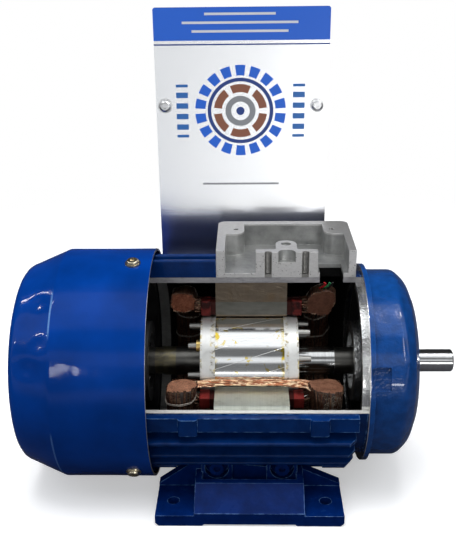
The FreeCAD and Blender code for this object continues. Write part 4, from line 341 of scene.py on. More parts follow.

# wear and painted highlight: paint rubbed thin on corners and knocks, and paler edges that stand for
# highlights along them
edge_wear_and_highlight, wear_in, wear_out = new_effect("edge_wear_and_highlight", {"Width": 0.0009, "Break": 0.004}, {"Wear and highlight": "Float"})
true_normal = node(edge_wear_and_highlight, "NewGeometry").outputs["Normal"]
round_normal = node(edge_wear_and_highlight, "Bevel", {0: wear_in.outputs["Width"]}, samples=4).outputs[0]
turn = node(edge_wear_and_highlight, "VectorMath", {0: true_normal, 1: round_normal},
            operation="DOT_PRODUCT").outputs["Value"]
broken = node(edge_wear_and_highlight, "TexNoise", {"Vector": node(edge_wear_and_highlight, "TexCoord").outputs["Object"], "Detail": 4.0,
              "Scale": maths(edge_wear_and_highlight, "DIVIDE", 1.0, wear_in.outputs["Break"])}).outputs[0]
corner = node(edge_wear_and_highlight, "MapRange", {0: turn, 1: 0.985, 2: 0.90, 3: 0.0, 4: 1.0}).outputs[0]
patchy = node(edge_wear_and_highlight, "MapRange", {0: broken, 1: 0.42, 2: 0.62}).outputs[0]
edge_wear_and_highlight.links.new(maths(edge_wear_and_highlight, "MULTIPLY", corner, patchy), wear_out.inputs["Wear and highlight"])


def blue_enamel(name, colour, lump, share, depth, roughness, bare_metal_and_painted_light=None, wear_and_highlight_amount=0.35, coat_weight=ENAMEL_COAT,
                shine=0.12, wear_and_highlight_to=None):
    """Blue spray paint with paler edges, partly wear and partly a painted highlight;
    bare_metal_and_painted_light(tree, place) gives masks of sawn, unpainted metal and of painted shade and
    highlights.
    """
    finish, tree, shader = new_finish(name, colour, roughness, Specular_IOR_Level=shine, Coat_Roughness=0.04)
    skin = use_effect(tree, enamel_skin, **{"Lump": lump, "Lump share": share})
    shade = node(tree, "MapRange", {0: skin["Tone"], 1: 0.3, 2: 0.7, 3: 0.0, 4: 1.0}).outputs[0]
    dark = tuple(c * 0.78 for c in colour)
    light = tuple(c * 1.22 for c in colour)
    body = blend_colours(tree, shade, dark, light)
    wear_and_highlight = maths(tree, "MULTIPLY", use_effect(tree, edge_wear_and_highlight)["Wear and highlight"], wear_and_highlight_amount)
    # paler edges: partly paint rubbed thin, partly a painted highlight along rounded edges
    pale = wear_and_highlight_to or tuple(min(1, c * 2.4 + 0.01) for c in colour)
    body = blend_colours(tree, wear_and_highlight, body, pale)
    gloss = blend_values(tree, shade, roughness * 0.85, roughness * 1.2)
    bumps = relief(tree, skin["Height"], depth)
    coat = None
    if bare_metal_and_painted_light is not None:
        place = use_effect(tree, axis_place)
        for mask, metal, tone, rough in bare_metal_and_painted_light(tree, place):
            saw = speckle(tree, stretched(tree, place["Place"], 0.3, 1.0, 1.0), 0.0012, 4.0, 0.7)
            streak = node(tree, "MapRange", {0: saw, 1: 0.3, 2: 0.7, 3: 0.75, 4: 1.05}).outputs[0]
            toned = node(tree, "VectorMath", {0: tone, "Scale": streak}, operation="SCALE").outputs[0]
            body = node(tree, "Mix", {0: mask, 6: body, 7: toned}, data_type="RGBA").outputs[2]
            gloss = blend_values(tree, mask, gloss, rough)
            metallic = (blend_values(tree, mask, 0.0, metal) if coat is None
                        else blend_values(tree, mask, metallic, metal))
            coat = blend_values(tree, mask, coat_weight if coat is None else coat, 0.0)
        dress(shader, tree, Metallic=metallic, Coat_Weight=coat)
    else:
        shader.inputs["Coat Weight"].default_value = coat_weight
    dress(shader, tree, Base_Color=body, Roughness=gloss, Normal=bumps)
    return finish


def frame_bare_metal_and_painted_light(tree, place):
    """The sawn strips and end faces of the frame; its bore, near-black as grime and painted shade, its cable
    passage near-black as painted shade, a painted lit stripe on the far inside wall, and painted shade on the
    upper sawn strip.
    """
    inside = maths(tree, "LESS_THAN", place["Radius"], FRAME_BORE + 0.15 * MM)
    above = within(tree, place["Up"], 0.050, FRAME_WALL, 0.02 * MM)
    upper_cut = maths(tree, "MULTIPLY", within(tree, place["Out"], -CUT_SLACK, CUT_SLACK, 0.02 * MM), above)
    in_front = maths(tree, "LESS_THAN", place["Out"], -0.040)
    lower_cut = maths(tree, "MULTIPLY", within(
        tree, place["Up"], WINDOW_FLOOR - CUT_SLACK, WINDOW_FLOOR + CUT_SLACK, 0.02 * MM), in_front)
    passage = maths(tree, "MULTIPLY", within(tree, place["Along"], 42.0 * MM, 57.4 * MM, 0.1 * MM),
                    maths(tree, "MULTIPLY", maths(tree, "GREATER_THAN", place["Up"], 0.045),
                          within(tree, place["Out"], -CUT_SLACK + 0.2 * MM, 15.6 * MM, 0.1 * MM)))
    # painted light: a paler stripe round the far inside wall near the rear shield, where light falls on the
    # bore
    paler_patches = maths(tree, "MULTIPLY", maths(tree, "MULTIPLY", inside, within(
        tree, place["Along"], -59.5 * MM, -54.0 * MM, 0.8 * MM)), maths(tree, "GREATER_THAN", place["Out"],
                                                                        0.0))
    return (
        # painted shade: the bore and the cable passage are near-black, the bore also grimy
        (maths(tree, "MAXIMUM", inside, passage), 0.0, SHADE_AND_GRIME_BLACK, 0.45),
        # painted light: the lit stripe on the far inside wall
        (maths(tree, "MULTIPLY", paler_patches, 0.8), 0.2, (0.50, 0.50, 0.48), 0.5),
        # painted shade: the upper sawn strip has a darker metal tone than the lower one, for the shade under
        # the terminal box
        (upper_cut, 1.0, (0.42, 0.41, 0.42), 0.38),
        (lower_cut, 0.45, SAWN_ALUMINIUM, 0.5),
    )


def paint_node(name, finish):
    """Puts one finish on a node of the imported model."""
    slots = frame["nodes"][name].data.materials
    slots.clear()
    slots.append(finish)


def soften(node_name, piece_name, finish, width, segments, smooth=35, edge_highlight_finish=None):
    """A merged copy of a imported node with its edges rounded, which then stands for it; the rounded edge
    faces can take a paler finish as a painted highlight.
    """
    source = frame["nodes"][node_name]
    copy = source.copy()
    copy.data = source.data.copy()
    copy.parent = None
    for key in list(copy.keys()):
        del copy[key]
    copy.name = piece_name
    bpy.context.scene.collection.objects.link(copy)
    bpy.ops.object.select_all(action="DESELECT")
    copy.select_set(True)
    bpy.context.view_layer.objects.active = copy
    bpy.ops.object.mode_set(mode="EDIT")
    bpy.ops.mesh.select_all(action="SELECT")
    bpy.ops.mesh.remove_doubles(threshold=1e-6)
    bpy.ops.mesh.dissolve_limited(angle_limit=math.radians(0.6))
    bpy.ops.object.mode_set(mode="OBJECT")
    copy.data.materials.clear()
    copy.data.materials.append(finish)
    copy.data.polygons.foreach_set("material_index", [0] * len(copy.data.polygons))
    rounding = copy.modifiers.new("rounding", "BEVEL")
    # painted highlight: the rounded edge faces get a paler finish of their own
    if edge_highlight_finish is not None:
        copy.data.materials.append(edge_highlight_finish)
        rounding.material = 1
    rounding.width = width
    rounding.segments = segments
    rounding.limit_method = "ANGLE"
    rounding.angle_limit = math.radians(32)
    rounding.use_clamp_overlap = True
    bpy.ops.object.modifier_apply(modifier="rounding")
    bpy.ops.object.shade_smooth_by_angle(angle=math.radians(smooth))
    copy.modifiers.new("flat_faces", "WEIGHTED_NORMAL").keep_sharp = True
    bpy.ops.object.modifier_apply(modifier="flat_faces")
    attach(copy, source["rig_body"])
    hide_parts(node_name)
    return copy


# painted highlight: the frame's rounded fin and pad edges in a paler blue
frame_casting = soften(
    "frame_housing", "frame_casting",
    blue_enamel("frame_enamel", FRAME_BLUE, 0.009, 0.7, 0.40 * MM, 0.20, frame_bare_metal_and_painted_light, 0.8, 0.22, 0.05,
                FRAME_EDGE_HIGHLIGHT),
    0.7 * MM, 3, 35,
    blue_enamel("frame_edge_highlight", FRAME_EDGE_HIGHLIGHT, 0.009, 0.7, 0.40 * MM, 0.14, frame_bare_metal_and_painted_light, 0.3, 0.9))

# ---------------------------------------------------------------- stator core
# A pack of thin steel laminations pressed into the frame, with the window sawn
# through it: fine lines run across every cut face, and the slots show as grooves.
LAMINATION = 0.5 * MM
CORE_BORE = 30.35 * MM


def laminated_steel(name, colour, roughness, stain=0.3):
    finish, tree, shader = new_finish(name, colour, roughness, 1.0)
    place = use_effect(tree, axis_place)
    leaf = maths(tree, "FRACT", maths(tree, "DIVIDE", place["Along"], LAMINATION))
    seam = node(tree, "MapRange", {0: maths(tree, "ABSOLUTE", maths(tree, "SUBTRACT", leaf, 0.5)),
                                   1: 0.30, 2: 0.5}).outputs[0]
    sheet = speckle(tree, stretched(tree, place["Place"], 1.0, 0.02, 0.02), LAMINATION * 1.7, 2.0)
    blotch = speckle(tree, place["Place"], 0.009, 4.0, 0.6)
    # painted shade: cut faces above about 4 to 12 mm over the axis are darker and warmer than the lower, lit
    # ones
    upper = node(tree, "MapRange", {0: place["Up"], 1: 0.004, 2: 0.012}).outputs[0]
    tone = blend_colours(tree, upper, (0.66, 0.70, 0.63),
                         (colour[0] * 0.50, colour[1] * 0.40, colour[2] * 0.32))
    streaks = node(tree, "MapRange", {0: sheet, 1: 0.3, 2: 0.7, 3: 0.94, 4: 1.04}).outputs[0]
    shade = node(tree, "VectorMath", {0: tone, "Scale": streaks}, operation="SCALE").outputs[0]
    rust = maths(tree, "MULTIPLY", node(tree, "MapRange", {0: blotch, 1: 0.52, 2: 0.72}).outputs[0], stain)
    # painted shade: the bore of the core, across the air gap from the rotor, is near-black
    bore = maths(tree, "LESS_THAN", place["Radius"], CORE_BORE + 0.15 * MM)
    shade = blend_colours(tree, maths(tree, "MULTIPLY", bore, 0.93), shade, (0.02, 0.018, 0.014))
    # painted shade: in front, below the window floor, the core is darker
    below = maths(tree, "MULTIPLY", maths(tree, "LESS_THAN", place["Up"], WINDOW_FLOOR - 0.3 * MM),
                  maths(tree, "LESS_THAN", place["Out"], -0.030))
    shade = blend_colours(tree, maths(tree, "MULTIPLY", below, 0.7), shade, (0.10, 0.10, 0.09))
    tint_and_shade = blend_colours(tree, upper, (0.13, 0.14, 0.11), (0.16, 0.09, 0.035))
    shade = blend_colours(tree, rust, shade, tint_and_shade)
    shade = blend_colours(tree, maths(tree, "MULTIPLY", seam, 0.07), shade, (0.03, 0.028, 0.025))
    rough = blend_values(tree, blotch, roughness * 0.8, roughness * 1.35)
    smear = speckle(tree, stretched(tree, place["Place"], 0.5, 1.0, 1.0), 0.004, 5.0, 0.65, 0.8)
    height = maths(tree, "ADD", maths(tree, "MULTIPLY", maths(tree, "SUBTRACT", 1.0, seam), 0.08), smear)
    dress(shader, tree, Base_Color=shade, Roughness=rough, Normal=relief(tree, height, 0.30 * MM))
    return finish


paint_node("stator_core", laminated_steel("stator_laminations", (0.34, 0.34, 0.315), 0.34))


def plain_finish(name, colour, roughness, metallic=0.0, grain=0.002, depth=0.02 * MM, spread=0.2, **sockets):
    """One material with its colour, gloss and surface broken up by fine noise."""
    finish, tree, shader = new_finish(name, colour, roughness, metallic, **sockets)
    where = node(tree, "TexCoord").outputs["Object"]
    fine = speckle(tree, where, grain, 4.0, 0.6)
    broad = speckle(tree, where, grain * 8, 3.0, 0.5)
    mixed = maths(tree, "MULTIPLY", maths(tree, "ADD", fine, broad), 0.5)
    shade = node(tree, "MapRange", {0: mixed, 1: 0.35, 2: 0.65}).outputs[0]
    tone = blend_colours(tree, shade, tuple(c * (1 - spread) for c in colour),
                         tuple(min(1, c * (1 + spread)) for c in colour))
    rough = blend_values(tree, shade, roughness * 0.85, min(1, roughness * 1.2))
    dress(shader, tree, Base_Color=tone, Roughness=rough, Normal=relief(tree, fine, depth))
    return finish


def varnished_paper():
    """Slot paper soaked in varnish: grey where the saw dragged steel over it, red-brown elsewhere."""
    finish, tree, shader = new_finish("slot_paper", (0.1, 0.1, 0.09), 0.5, Specular_IOR_Level=0.1)
    place = use_effect(tree, axis_place)
    cloud = speckle(tree, stretched(tree, place["Place"], 0.4, 1.0, 1.0), 0.004, 4.0, 0.6)
    in_core = within(tree, place["Along"], -20.2 * MM, 23.2 * MM, 0.05 * MM)
    smeared = blend_colours(tree, cloud, (0.07, 0.068, 0.058), (0.19, 0.185, 0.165))
    stained = blend_colours(tree, cloud, (0.012, 0.003, 0.002), (0.05, 0.008, 0.007))
    dress(shader, tree, Base_Color=blend_colours(tree, in_core, stained, smeared),
          Metallic=maths(tree, "MULTIPLY", in_core, 0.7), Normal=relief(tree, cloud, 0.1 * MM))
    return finish


paint_node("slot_liners", varnished_paper())

# ---------------------------------------------------------------- windings
# Enamelled copper wire, wound in coils and bent into thick rings at both ends of
# the core, then varnished. The saw left bright copper faces with ragged wire ends.
WIRE = 0.42 * MM
REAR_RING = dict(middle=-40.0 * MM, half_width=8.8 * MM, inner=30.2 * MM, outer=47.8 * MM,
                 top_inner=32.6 * MM, top_outer=46.4 * MM, lean=-0.10, seed=1.0, flare=0.10, shift=0.5 * MM)
DRIVE_RING = dict(middle=44.0 * MM, half_width=10.8 * MM, inner=30.2 * MM, outer=47.8 * MM,
                  top_inner=30.6 * MM, top_outer=47.8 * MM, lean=0.22, seed=2.3, flare=0.22, shift=1.0 * MM)
RING_CUT_HEIGHT = 3.7 * MM
RING_START = math.radians(84)
RING_END = math.radians(360)


def ring_point(x, radius, turn):
    """A point at an angle about the shaft axis: 0 is the top, a quarter turn is out of the window."""
    return Vector((x, -radius * math.sin(turn), SHAFT_HEIGHT + radius * math.cos(turn)))


def bundle_swell(ring, around, turn):
    """Lumps of a hand-laced bundle, as a share of its half depth."""
    seed = ring["seed"]
    return (0.050 * math.sin(2 * around + 5 * turn + seed)
            + 0.035 * math.sin(3 * around - 9 * turn + 2 * seed)
            + 0.025 * math.sin(5 * around + 17 * turn + 3 * seed) - 0.075)


def bundle_place(ring, around, turn, proud=0.0):
    """Where the bundle's surface lies: around its section and along its ring."""
    share = (turn - RING_START) / (RING_END - RING_START)
    low = ring["inner"] + (ring["top_inner"] - ring["inner"]) * share ** 3
    high = ring["outer"] + (ring["top_outer"] - ring["outer"]) * share ** 3
    out = 1 + bundle_swell(ring, around, turn)
    square = 1 / max(abs(math.cos(around)), abs(math.sin(around))) ** 0.35
    across = math.cos(around) * square * out
    deep = math.sin(around) * square * out
    flare = max(0.0, 1 - share / 0.10)
    width = ring["half_width"] * (1 + ring["flare"] * flare)
    x = (ring["middle"] + ring["shift"] * flare
         + width * (across * (1 - abs(ring["lean"])) + ring["lean"] * deep))
    radius = (low + high) / 2 + (high - low) / 2 * deep
    x += math.cos(around) * proud
    radius += math.sin(around) * proud
    return x, min(max(radius, 30.0 * MM), 48.0 * MM)


def wire_run(name, paths, thickness, finish, sides=1):
    """Round wires along lists of points, as one mesh."""
    wires = bpy.data.curves.new(name, "CURVE")
    wires.dimensions = "3D"
    wires.bevel_depth = thickness
    wires.bevel_resolution = sides
    wires.use_fill_caps = True
    for path in paths:
        run = wires.splines.new("POLY")
        run.points.add(len(path) - 1)
        for knot, place in zip(run.points, path):
            knot.co = (*place, 1)
    wire_object = bpy.data.objects.new(name, wires)
    bpy.context.scene.collection.objects.link(wire_object)
    bpy.ops.object.select_all(action="DESELECT")
    wire_object.select_set(True)
    bpy.context.view_layer.objects.active = wire_object
    bpy.ops.object.convert(target="MESH")
    piece = bpy.context.object
    piece.name = name
    for face in piece.data.polygons:
        face.use_smooth = len(face.vertices) == 4
    piece.data.materials.clear()
    piece.data.materials.append(finish)
    return piece


def enamelled_wire(name, colour, bright):
    """Varnished wire, each strand a little different, rubbed to bare copper here and there."""
    finish, tree, shader = new_finish(name, colour, 0.34, 0.55)
    where = node(tree, "TexCoord").outputs["Object"]
    strand = node(tree, "NewGeometry").outputs["Random Per Island"]
    wire_mottle_and_sleeve_shade = speckle(tree, where, 0.004, 4.0, 0.6)
    shade = maths(tree, "ADD", maths(tree, "MULTIPLY", strand, 0.6), maths(tree, "MULTIPLY", wire_mottle_and_sleeve_shade, 0.4))
    tone = blend_colours(tree, shade, tuple(c * 0.2 for c in colour), tuple(min(1, c * 2.0) for c in colour))
    paler_patches = node(tree, "MapRange",
                  {0: speckle(tree, stretched(tree, where, 0.30, 1.0, 1.0), 0.0011, 4.0, 0.6),
                   1: 0.46, 2: 0.58}).outputs[0]
    tone = blend_colours(tree, maths(tree, "MULTIPLY", paler_patches, bright), tone, (1.0, 0.78, 0.52))
    dress(shader, tree, Base_Color=tone, Roughness=blend_values(tree, wire_mottle_and_sleeve_shade, 0.20, 0.50),
          Metallic=maths(tree, "ADD", maths(tree, "MULTIPLY", paler_patches, 0.4), 0.5, True),
          Normal=relief(tree, speckle(tree, where, 0.0007, 2.0), 0.05 * MM))
    return finish


def sawn_copper(name):
    """Hundreds of wire ends smeared by the saw: pink copper dots in dark varnish."""
    finish, tree, shader = new_finish(name, (0.62, 0.32, 0.21), 0.42, 0.75)
    where = node(tree, "TexCoord").outputs["Object"]
    cells = node(tree, "TexVoronoi", {"Vector": where, "Scale": 1 / 0.00055},
                 feature="F1").outputs["Distance"]
    gaps = node(tree, "MapRange", {0: cells, 1: 0.42, 2: 0.62}).outputs[0]
    smear = speckle(tree, stretched(tree, where, 0.25, 1.0, 1.0), 0.0010, 4.0, 0.7)
    stain = speckle(tree, where, 0.0035, 4.0, 0.65)
    tone = blend_colours(tree, smear, (0.44, 0.17, 0.10), (1.0, 0.60, 0.42))
    tone = blend_colours(tree, maths(tree, "MULTIPLY", gaps, 0.35), tone, (0.12, 0.045, 0.03))
    tone = blend_colours(tree, node(tree, "MapRange", {0: stain, 1: 0.45, 2: 0.65, 4: 0.65}).outputs[0], tone,
                         (0.26, 0.10, 0.055))
    height = maths(tree, "SUBTRACT", smear, maths(tree, "MULTIPLY", gaps, 0.6))
    place = use_effect(tree, axis_place)
    # painted light and shade: low cut faces lighter, those above about 8 to 20 mm darker; the drive-end ring
    # darker than the rear one
    upper = node(tree, "MapRange", {0: place["Up"], 1: 0.008, 2: 0.020}).outputs[0]
    drive_side = node(tree, "MapRange", {0: place["Along"], 1: -0.01, 2: 0.01}).outputs[0]
    shaded_tone = blend_colours(tree, drive_side, (0.34, 0.22, 0.17), (0.17, 0.13, 0.11))
    lit_tone = blend_colours(tree, drive_side, (1.0, 0.92, 0.84), (0.62, 0.56, 0.50))
    tint_and_shade = blend_colours(tree, upper, lit_tone, shaded_tone)
    tone = node(tree, "VectorMath", {0: tone, 1: tint_and_shade}, operation="MULTIPLY").outputs[0]
    dress(shader, tree, Base_Color=tone, Roughness=blend_values(tree, smear, 0.30, 0.62),
          Normal=relief(tree, height, 0.16 * MM))
    return finish


ring_wire = enamelled_wire("winding_enamel", (0.060, 0.020, 0.011), 0.12)
cut_copper = sawn_copper("sawn_copper")
dark_core = plain_finish("varnished_bundle", (0.020, 0.009, 0.006), 0.55, 0.2, 0.0015, 0.3 * MM)
chance = random.Random(17)


def end_ring(name, ring, replaced):
    """A sawn ring of wires: a lumpy bundle with cut faces, and the strands that cover it."""
    corners, steps = 48, 56
    bpy.ops.object.select_all(action="DESELECT")
    bpy.ops.mesh.primitive_circle_add(
        vertices=corners, radius=ring["half_width"], fill_type="NGON",
        location=(ring["middle"], 0, SHAFT_HEIGHT + (ring["inner"] + ring["outer"]) / 2),
        rotation=(math.pi / 2, 0, 0))
    bundle = bpy.context.object
    bundle.name = name
    bpy.ops.object.transform_apply(location=True, rotation=True, scale=True)
    bpy.ops.object.mode_set(mode="EDIT")
    bpy.ops.mesh.select_all(action="SELECT")
    bpy.ops.mesh.spin(steps=steps, angle=RING_END - RING_START, center=(0, 0, SHAFT_HEIGHT), axis=(1, 0, 0))
    bpy.ops.mesh.select_all(action="SELECT")
    bpy.ops.mesh.remove_doubles(threshold=1e-6)
    bpy.ops.object.mode_set(mode="OBJECT")
    middle_radius = (ring["inner"] + ring["outer"]) / 2
    for point in bundle.data.vertices:
        up = point.co.z - SHAFT_HEIGHT
        radius = math.hypot(point.co.y, up)
        turn = math.atan2(-point.co.y, up) % (2 * math.pi)
        turn = 2 * math.pi if turn < RING_START - 0.02 else turn
        around = math.atan2(radius - middle_radius, point.co.x - ring["middle"])
        x, new_radius = bundle_place(ring, around, turn)
        if turn < RING_START + 0.02:
            turn = math.acos(RING_CUT_HEIGHT / new_radius)
        point.co = ring_point(x, new_radius, turn)
    bpy.ops.object.mode_set(mode="EDIT")
    bpy.ops.mesh.select_all(action="SELECT")
    bpy.ops.mesh.normals_make_consistent(inside=False)
    bpy.ops.object.mode_set(mode="OBJECT")
    bundle.data.materials.append(dark_core)
    bundle.data.materials.append(cut_copper)
    for face in bundle.data.polygons:
        if len(face.vertices) > 4:
            face.material_index = 1
        else:
            face.use_smooth = True
    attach(bundle, "motor")
    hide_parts(replaced)

    paths = []
    strands = 84
    for number in range(strands):
        start = 2 * math.pi * number / strands + chance.uniform(-0.02, 0.02)
        sway, beat, phase = chance.uniform(0.05, 0.30), chance.uniform(1.0, 2.4), chance.uniform(0, 6)
        proud = chance.uniform(-0.15, 0.30) * MM
        path = []
        last = 60
        for step in range(last + 1):
            turn = RING_START + (RING_END - RING_START) * step / last
            around = start + sway * math.sin(beat * turn + phase) + 0.03 * math.sin(9 * turn + phase)
            x, radius = bundle_place(ring, around, turn, proud)
            if step == 0:
                turn = math.acos((RING_CUT_HEIGHT + chance.uniform(-1.0, 0.8) * MM) / radius)
            if step == last:
                turn += chance.uniform(-0.3, 0.8) * MM / radius
            path.append(ring_point(x, radius, turn))
        paths.append(path)
    strand_piece = wire_run(name + "_strands", paths, WIRE, ring_wire)
    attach(strand_piece, "motor")
    return bundle


end_ring("rear_wire_ring", REAR_RING, "rear_end_winding")
end_ring("drive_wire_ring", DRIVE_RING, "drive_end_winding")

# wires between the slots and the rings, and what the saw left of the ones in the window
CORE_REAR, CORE_DRIVE = -20.2 * MM, 23.2 * MM
SLOT_TURN = math.radians(-4)
SLOT_STEP = math.radians(15)
tails = []
for slot_number in [0] + list(range(7, 24)):
    middle = SLOT_TURN + slot_number * SLOT_STEP
    for core_face, ring, way in ((CORE_REAR, REAR_RING, -1), (CORE_DRIVE, DRIVE_RING, 1)):
        lean_to = chance.choice((-1, 1))
        for strand in range(14):
            turn = middle + math.radians(chance.uniform(-3.0, 3.0))
            radius = chance.uniform(32.6, 39.4) * MM
            inside = core_face - way * 2.5 * MM
            near_ring = ring["middle"] - way * ring["half_width"] * 0.80
            bend = lean_to * math.radians(chance.uniform(2, 9))
            tails.append([
                ring_point(inside, radius, turn),
                ring_point(core_face + way * 3.5 * MM, radius + chance.uniform(-0.3, 0.3) * MM, turn),
                ring_point(core_face + (near_ring - core_face) * 0.75, radius + 0.6 * MM, turn + bend * 0.35),
                ring_point(near_ring, min(radius + 2.0 * MM, 45 * MM), turn + bend),
            ])
tail_wires = wire_run("slot_wire_tails", tails, WIRE, ring_wire)
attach(tail_wires, "motor")

loose_wire = enamelled_wire("scraped_wire", (0.34, 0.12, 0.055), 1.0)
loose = []
for strand in range(34):
    layer = strand % 3
    height = (3.3 - 0.85 * layer) * MM
    out = (31.2 + 0.95 * layer) * MM
    base_out = out + chance.uniform(-0.2, 1.0) * MM
    base_up = height + chance.uniform(-0.5, 0.2) * MM
    start = chance.uniform(-41, -33) * MM
    beat = chance.uniform(12, 34)
    finish_at = chance.uniform(35, 46) * MM
    wave, phase = chance.uniform(0.15, 0.6) * MM, chance.uniform(0, 6)
    path = []
    for step in range(23):
        share = step / 22
        x = start + (finish_at - start) * share
        ends = max(0.0, abs(2 * share - 1) - 0.55) / 0.45
        y = base_out + wave * math.sin(share * beat + phase) + ends * ends * chance.uniform(0.5, 6.0) * MM
        z = base_up + wave * math.cos(share * (beat - 5) + phase) - ends * 0.6 * MM
        y = max(y, 30.9 * MM)
        path.append(Vector((x, -y, SHAFT_HEIGHT + max(z, -0.6 * MM))))
    loose.append(path)
loose_piece = wire_run("loose_slot_wires", loose, WIRE, loose_wire)
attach(loose_piece, "motor")
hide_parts("slot_windings")

# ---------------------------------------------------------------- sleeving, lacing and leads
# Red woven sleeving on the wires where they leave the core, white cord that laces the
# rings, and three thin leads cut off below the terminal box.


def woven_sleeve(name, colour, wire_mottle_and_sleeve_shade=0.0):
    finish, tree, shader = new_finish(name, colour, 0.5, Specular_IOR_Level=0.15)
    place = use_effect(tree, axis_place)
    weave = node(tree, "TexVoronoi", {"Vector": place["Place"], "Scale": 1 / 0.0007}).outputs["Distance"]
    dirt = speckle(tree, place["Place"], 0.003, 4.0, 0.6)
    tone = blend_colours(tree, dirt, tuple(c * 0.5 for c in colour), tuple(min(1, c * 1.5) for c in colour))
    # painted shade: the upper sleeves are darkened in patches from about 6 to 16 mm above the axis
    painted_shade_above = node(tree, "MapRange", {0: place["Up"], 1: 0.006, 2: 0.016, 4: wire_mottle_and_sleeve_shade}).outputs[0]
    patch = node(tree, "MapRange",
                 {0: speckle(tree, place["Place"], 0.006, 2.0), 1: 0.48, 2: 0.62, 3: 1.0, 4: 0.3}).outputs[0]
    tone = blend_colours(tree, maths(tree, "MULTIPLY", painted_shade_above, patch), tone, tuple(c * 0.08 for c in colour))
    dress(shader, tree, Base_Color=tone, Roughness=blend_values(tree, weave, 0.4, 0.7),
          Normal=relief(tree, weave, 0.15 * MM))
    return finish


sleeves = soften("slot_sleeves", "red_sleeves", woven_sleeve("red_sleeving", (0.13, 0.012, 0.010), 0.9),
                 1.3 * MM, 3)

lace_finish = woven_sleeve("white_cord", (0.26, 0.23, 0.20))
laces = []
for ring in (REAR_RING, DRIVE_RING):
    for loop_number in range(0 if ring is REAR_RING else 1, 9):
        turn = math.radians(94 + 30 * loop_number)
        for side in (-0.5, 0.5):
            loop = []
            for step in range(41):
                around = 2 * math.pi * step / 40
                slant = math.radians(1.6) * math.sin(around) + side * 0.55 * MM / (40 * MM)
                x, radius = bundle_place(ring, around, turn + slant, 0.35 * MM)
                radius = min(max(radius, 29.6 * MM), 48.4 * MM)
                loop.append(ring_point(x + math.cos(around) * 0.25 * MM, radius, turn + slant))
            laces.append(loop)
lace_piece = wire_run("ring_lacing", laces, 0.38 * MM, lace_finish)
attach(lace_piece, "motor")
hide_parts("lacing_cord")

frayed = []
for strand in range(60):
    around = chance.uniform(0.15, 1.25) * math.pi / 2
    turn = math.radians(chance.uniform(87, 100))
    path = []
    for step in range(9):
        x, radius = bundle_place(DRIVE_RING, around, turn, chance.uniform(0.1, 0.5) * MM)
        path.append(ring_point(x, radius, turn))
        around += chance.uniform(-0.10, 0.10)
        turn += math.radians(chance.uniform(-0.4, 1.2))
    frayed.append(path)
frayed_piece = wire_run("frayed_strands", frayed, 0.16 * MM,
                        plain_finish("frayed_wire", (0.16, 0.13, 0.10), 0.5, 0.3, 0.001))
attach(frayed_piece, "motor")

LEAD_COLOURS = (("red", (0.42, 0.015, 0.02)), ("green", (0.02, 0.20, 0.07)), ("dark", (0.015, 0.015, 0.015)))
for number, (lead_name, lead_colour) in enumerate(LEAD_COLOURS):
    x = (46.6 + 2.0 * number) * MM
    lead_paths = []
    for strand in range(3):
        side = chance.uniform(-0.5, 0.5) * MM
        lead_paths.append([
            ring_point(x - 3 * MM + side, 46.2 * MM, math.radians(-9)),
            ring_point(x - 2 * MM + side, 47.6 * MM, math.radians(-6)),
            ring_point(x + side, 49.4 * MM, math.radians(-4.4)),
            ring_point(x + side + chance.uniform(-0.6, 0.8) * MM, (50.6 + 0.7 * strand) * MM,
                       math.radians(-4.0 + strand)),
        ])
    lead = wire_run(f"lead_{lead_name}", lead_paths, 0.45 * MM,
                    woven_sleeve(f"lead_{lead_name}", lead_colour))
    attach(lead, "motor")
    if number == 0:
        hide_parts("lead_wires")

# ---------------------------------------------------------------- rotor
# Squirrel-cage rotor pressed on the shaft: ground laminations, an aluminium cage cast
# through their skewed slots, balance studs, bearings, and the fan behind the rear shield.
ROTOR_SKEW = math.radians(25.2)
ROTOR_BARS = 16


def ground_rotor():
    """Ground steel laminations: long scratches, the bars' edges as fine skewed lines, varnish stains."""
    finish, tree, shader = new_finish("rotor_laminations", (0.72, 0.72, 0.71), 0.16, 1.0)
    place = use_effect(tree, axis_place)
    turn = maths(tree, "ARCTAN2", maths(tree, "MULTIPLY", place["Out"], -1.0), place["Up"])
    skewed = maths(tree, "ADD", turn, maths(tree, "MULTIPLY", place["Along"], ROTOR_SKEW / (41.3 * MM)))
    share = maths(tree, "FRACT",
                  maths(tree, "ADD", maths(tree, "MULTIPLY", skewed, ROTOR_BARS / (2 * math.pi)), 0.82))
    bar_edge = within(tree, share, 0.496, 0.504, 0.006)
    on_face = maths(tree, "GREATER_THAN", place["Radius"], 29.5 * MM)
    edge = maths(tree, "MULTIPLY", bar_edge, on_face)
    blotch = speckle(tree, place["Place"], 0.007, 4.0, 0.6, 0.6)
    scratch = speckle(tree, stretched(tree, place["Place"], 0.06, 1.0, 1.0), 0.0006, 3.0, 0.6)
    tone = blend_colours(tree, scratch, (0.60, 0.60, 0.60), (0.84, 0.84, 0.83))
    at_ends = maths(tree, "MAXIMUM", within(tree, place["Along"], -20.3 * MM, -19.2 * MM, 1.6 * MM),
                    within(tree, place["Along"], 20.0 * MM, 21.2 * MM, 1.6 * MM))
    stain = maths(tree, "ADD", node(tree, "MapRange", {0: blotch, 1: 0.59, 2: 0.64, 4: 0.8}).outputs[0],
                  maths(tree, "MULTIPLY", at_ends,
                        node(tree, "MapRange", {0: blotch, 1: 0.42, 2: 0.6, 4: 0.7}).outputs[0]), True)
    tone = blend_colours(tree, stain, tone, (0.62, 0.47, 0.07))
    pits = node(tree, "MapRange",
                {0: speckle(tree, place["Place"], 0.0011, 2.0), 1: 0.74, 2: 0.78}).outputs[0]
    tone = blend_colours(tree, pits, tone, (0.06, 0.05, 0.04))
    tone = blend_colours(tree, maths(tree, "MULTIPLY", edge, 0.5), tone, (0.62, 0.60, 0.56))
    rough = blend_values(tree, scratch, 0.08, 0.15)
    rough = blend_values(tree, edge, rough, 0.4)
    height = maths(tree, "ADD", maths(tree, "MULTIPLY", scratch, 0.05), edge)
    dress(shader, tree, Base_Color=tone, Roughness=rough, Normal=relief(tree, height, 0.02 * MM))
    return finish


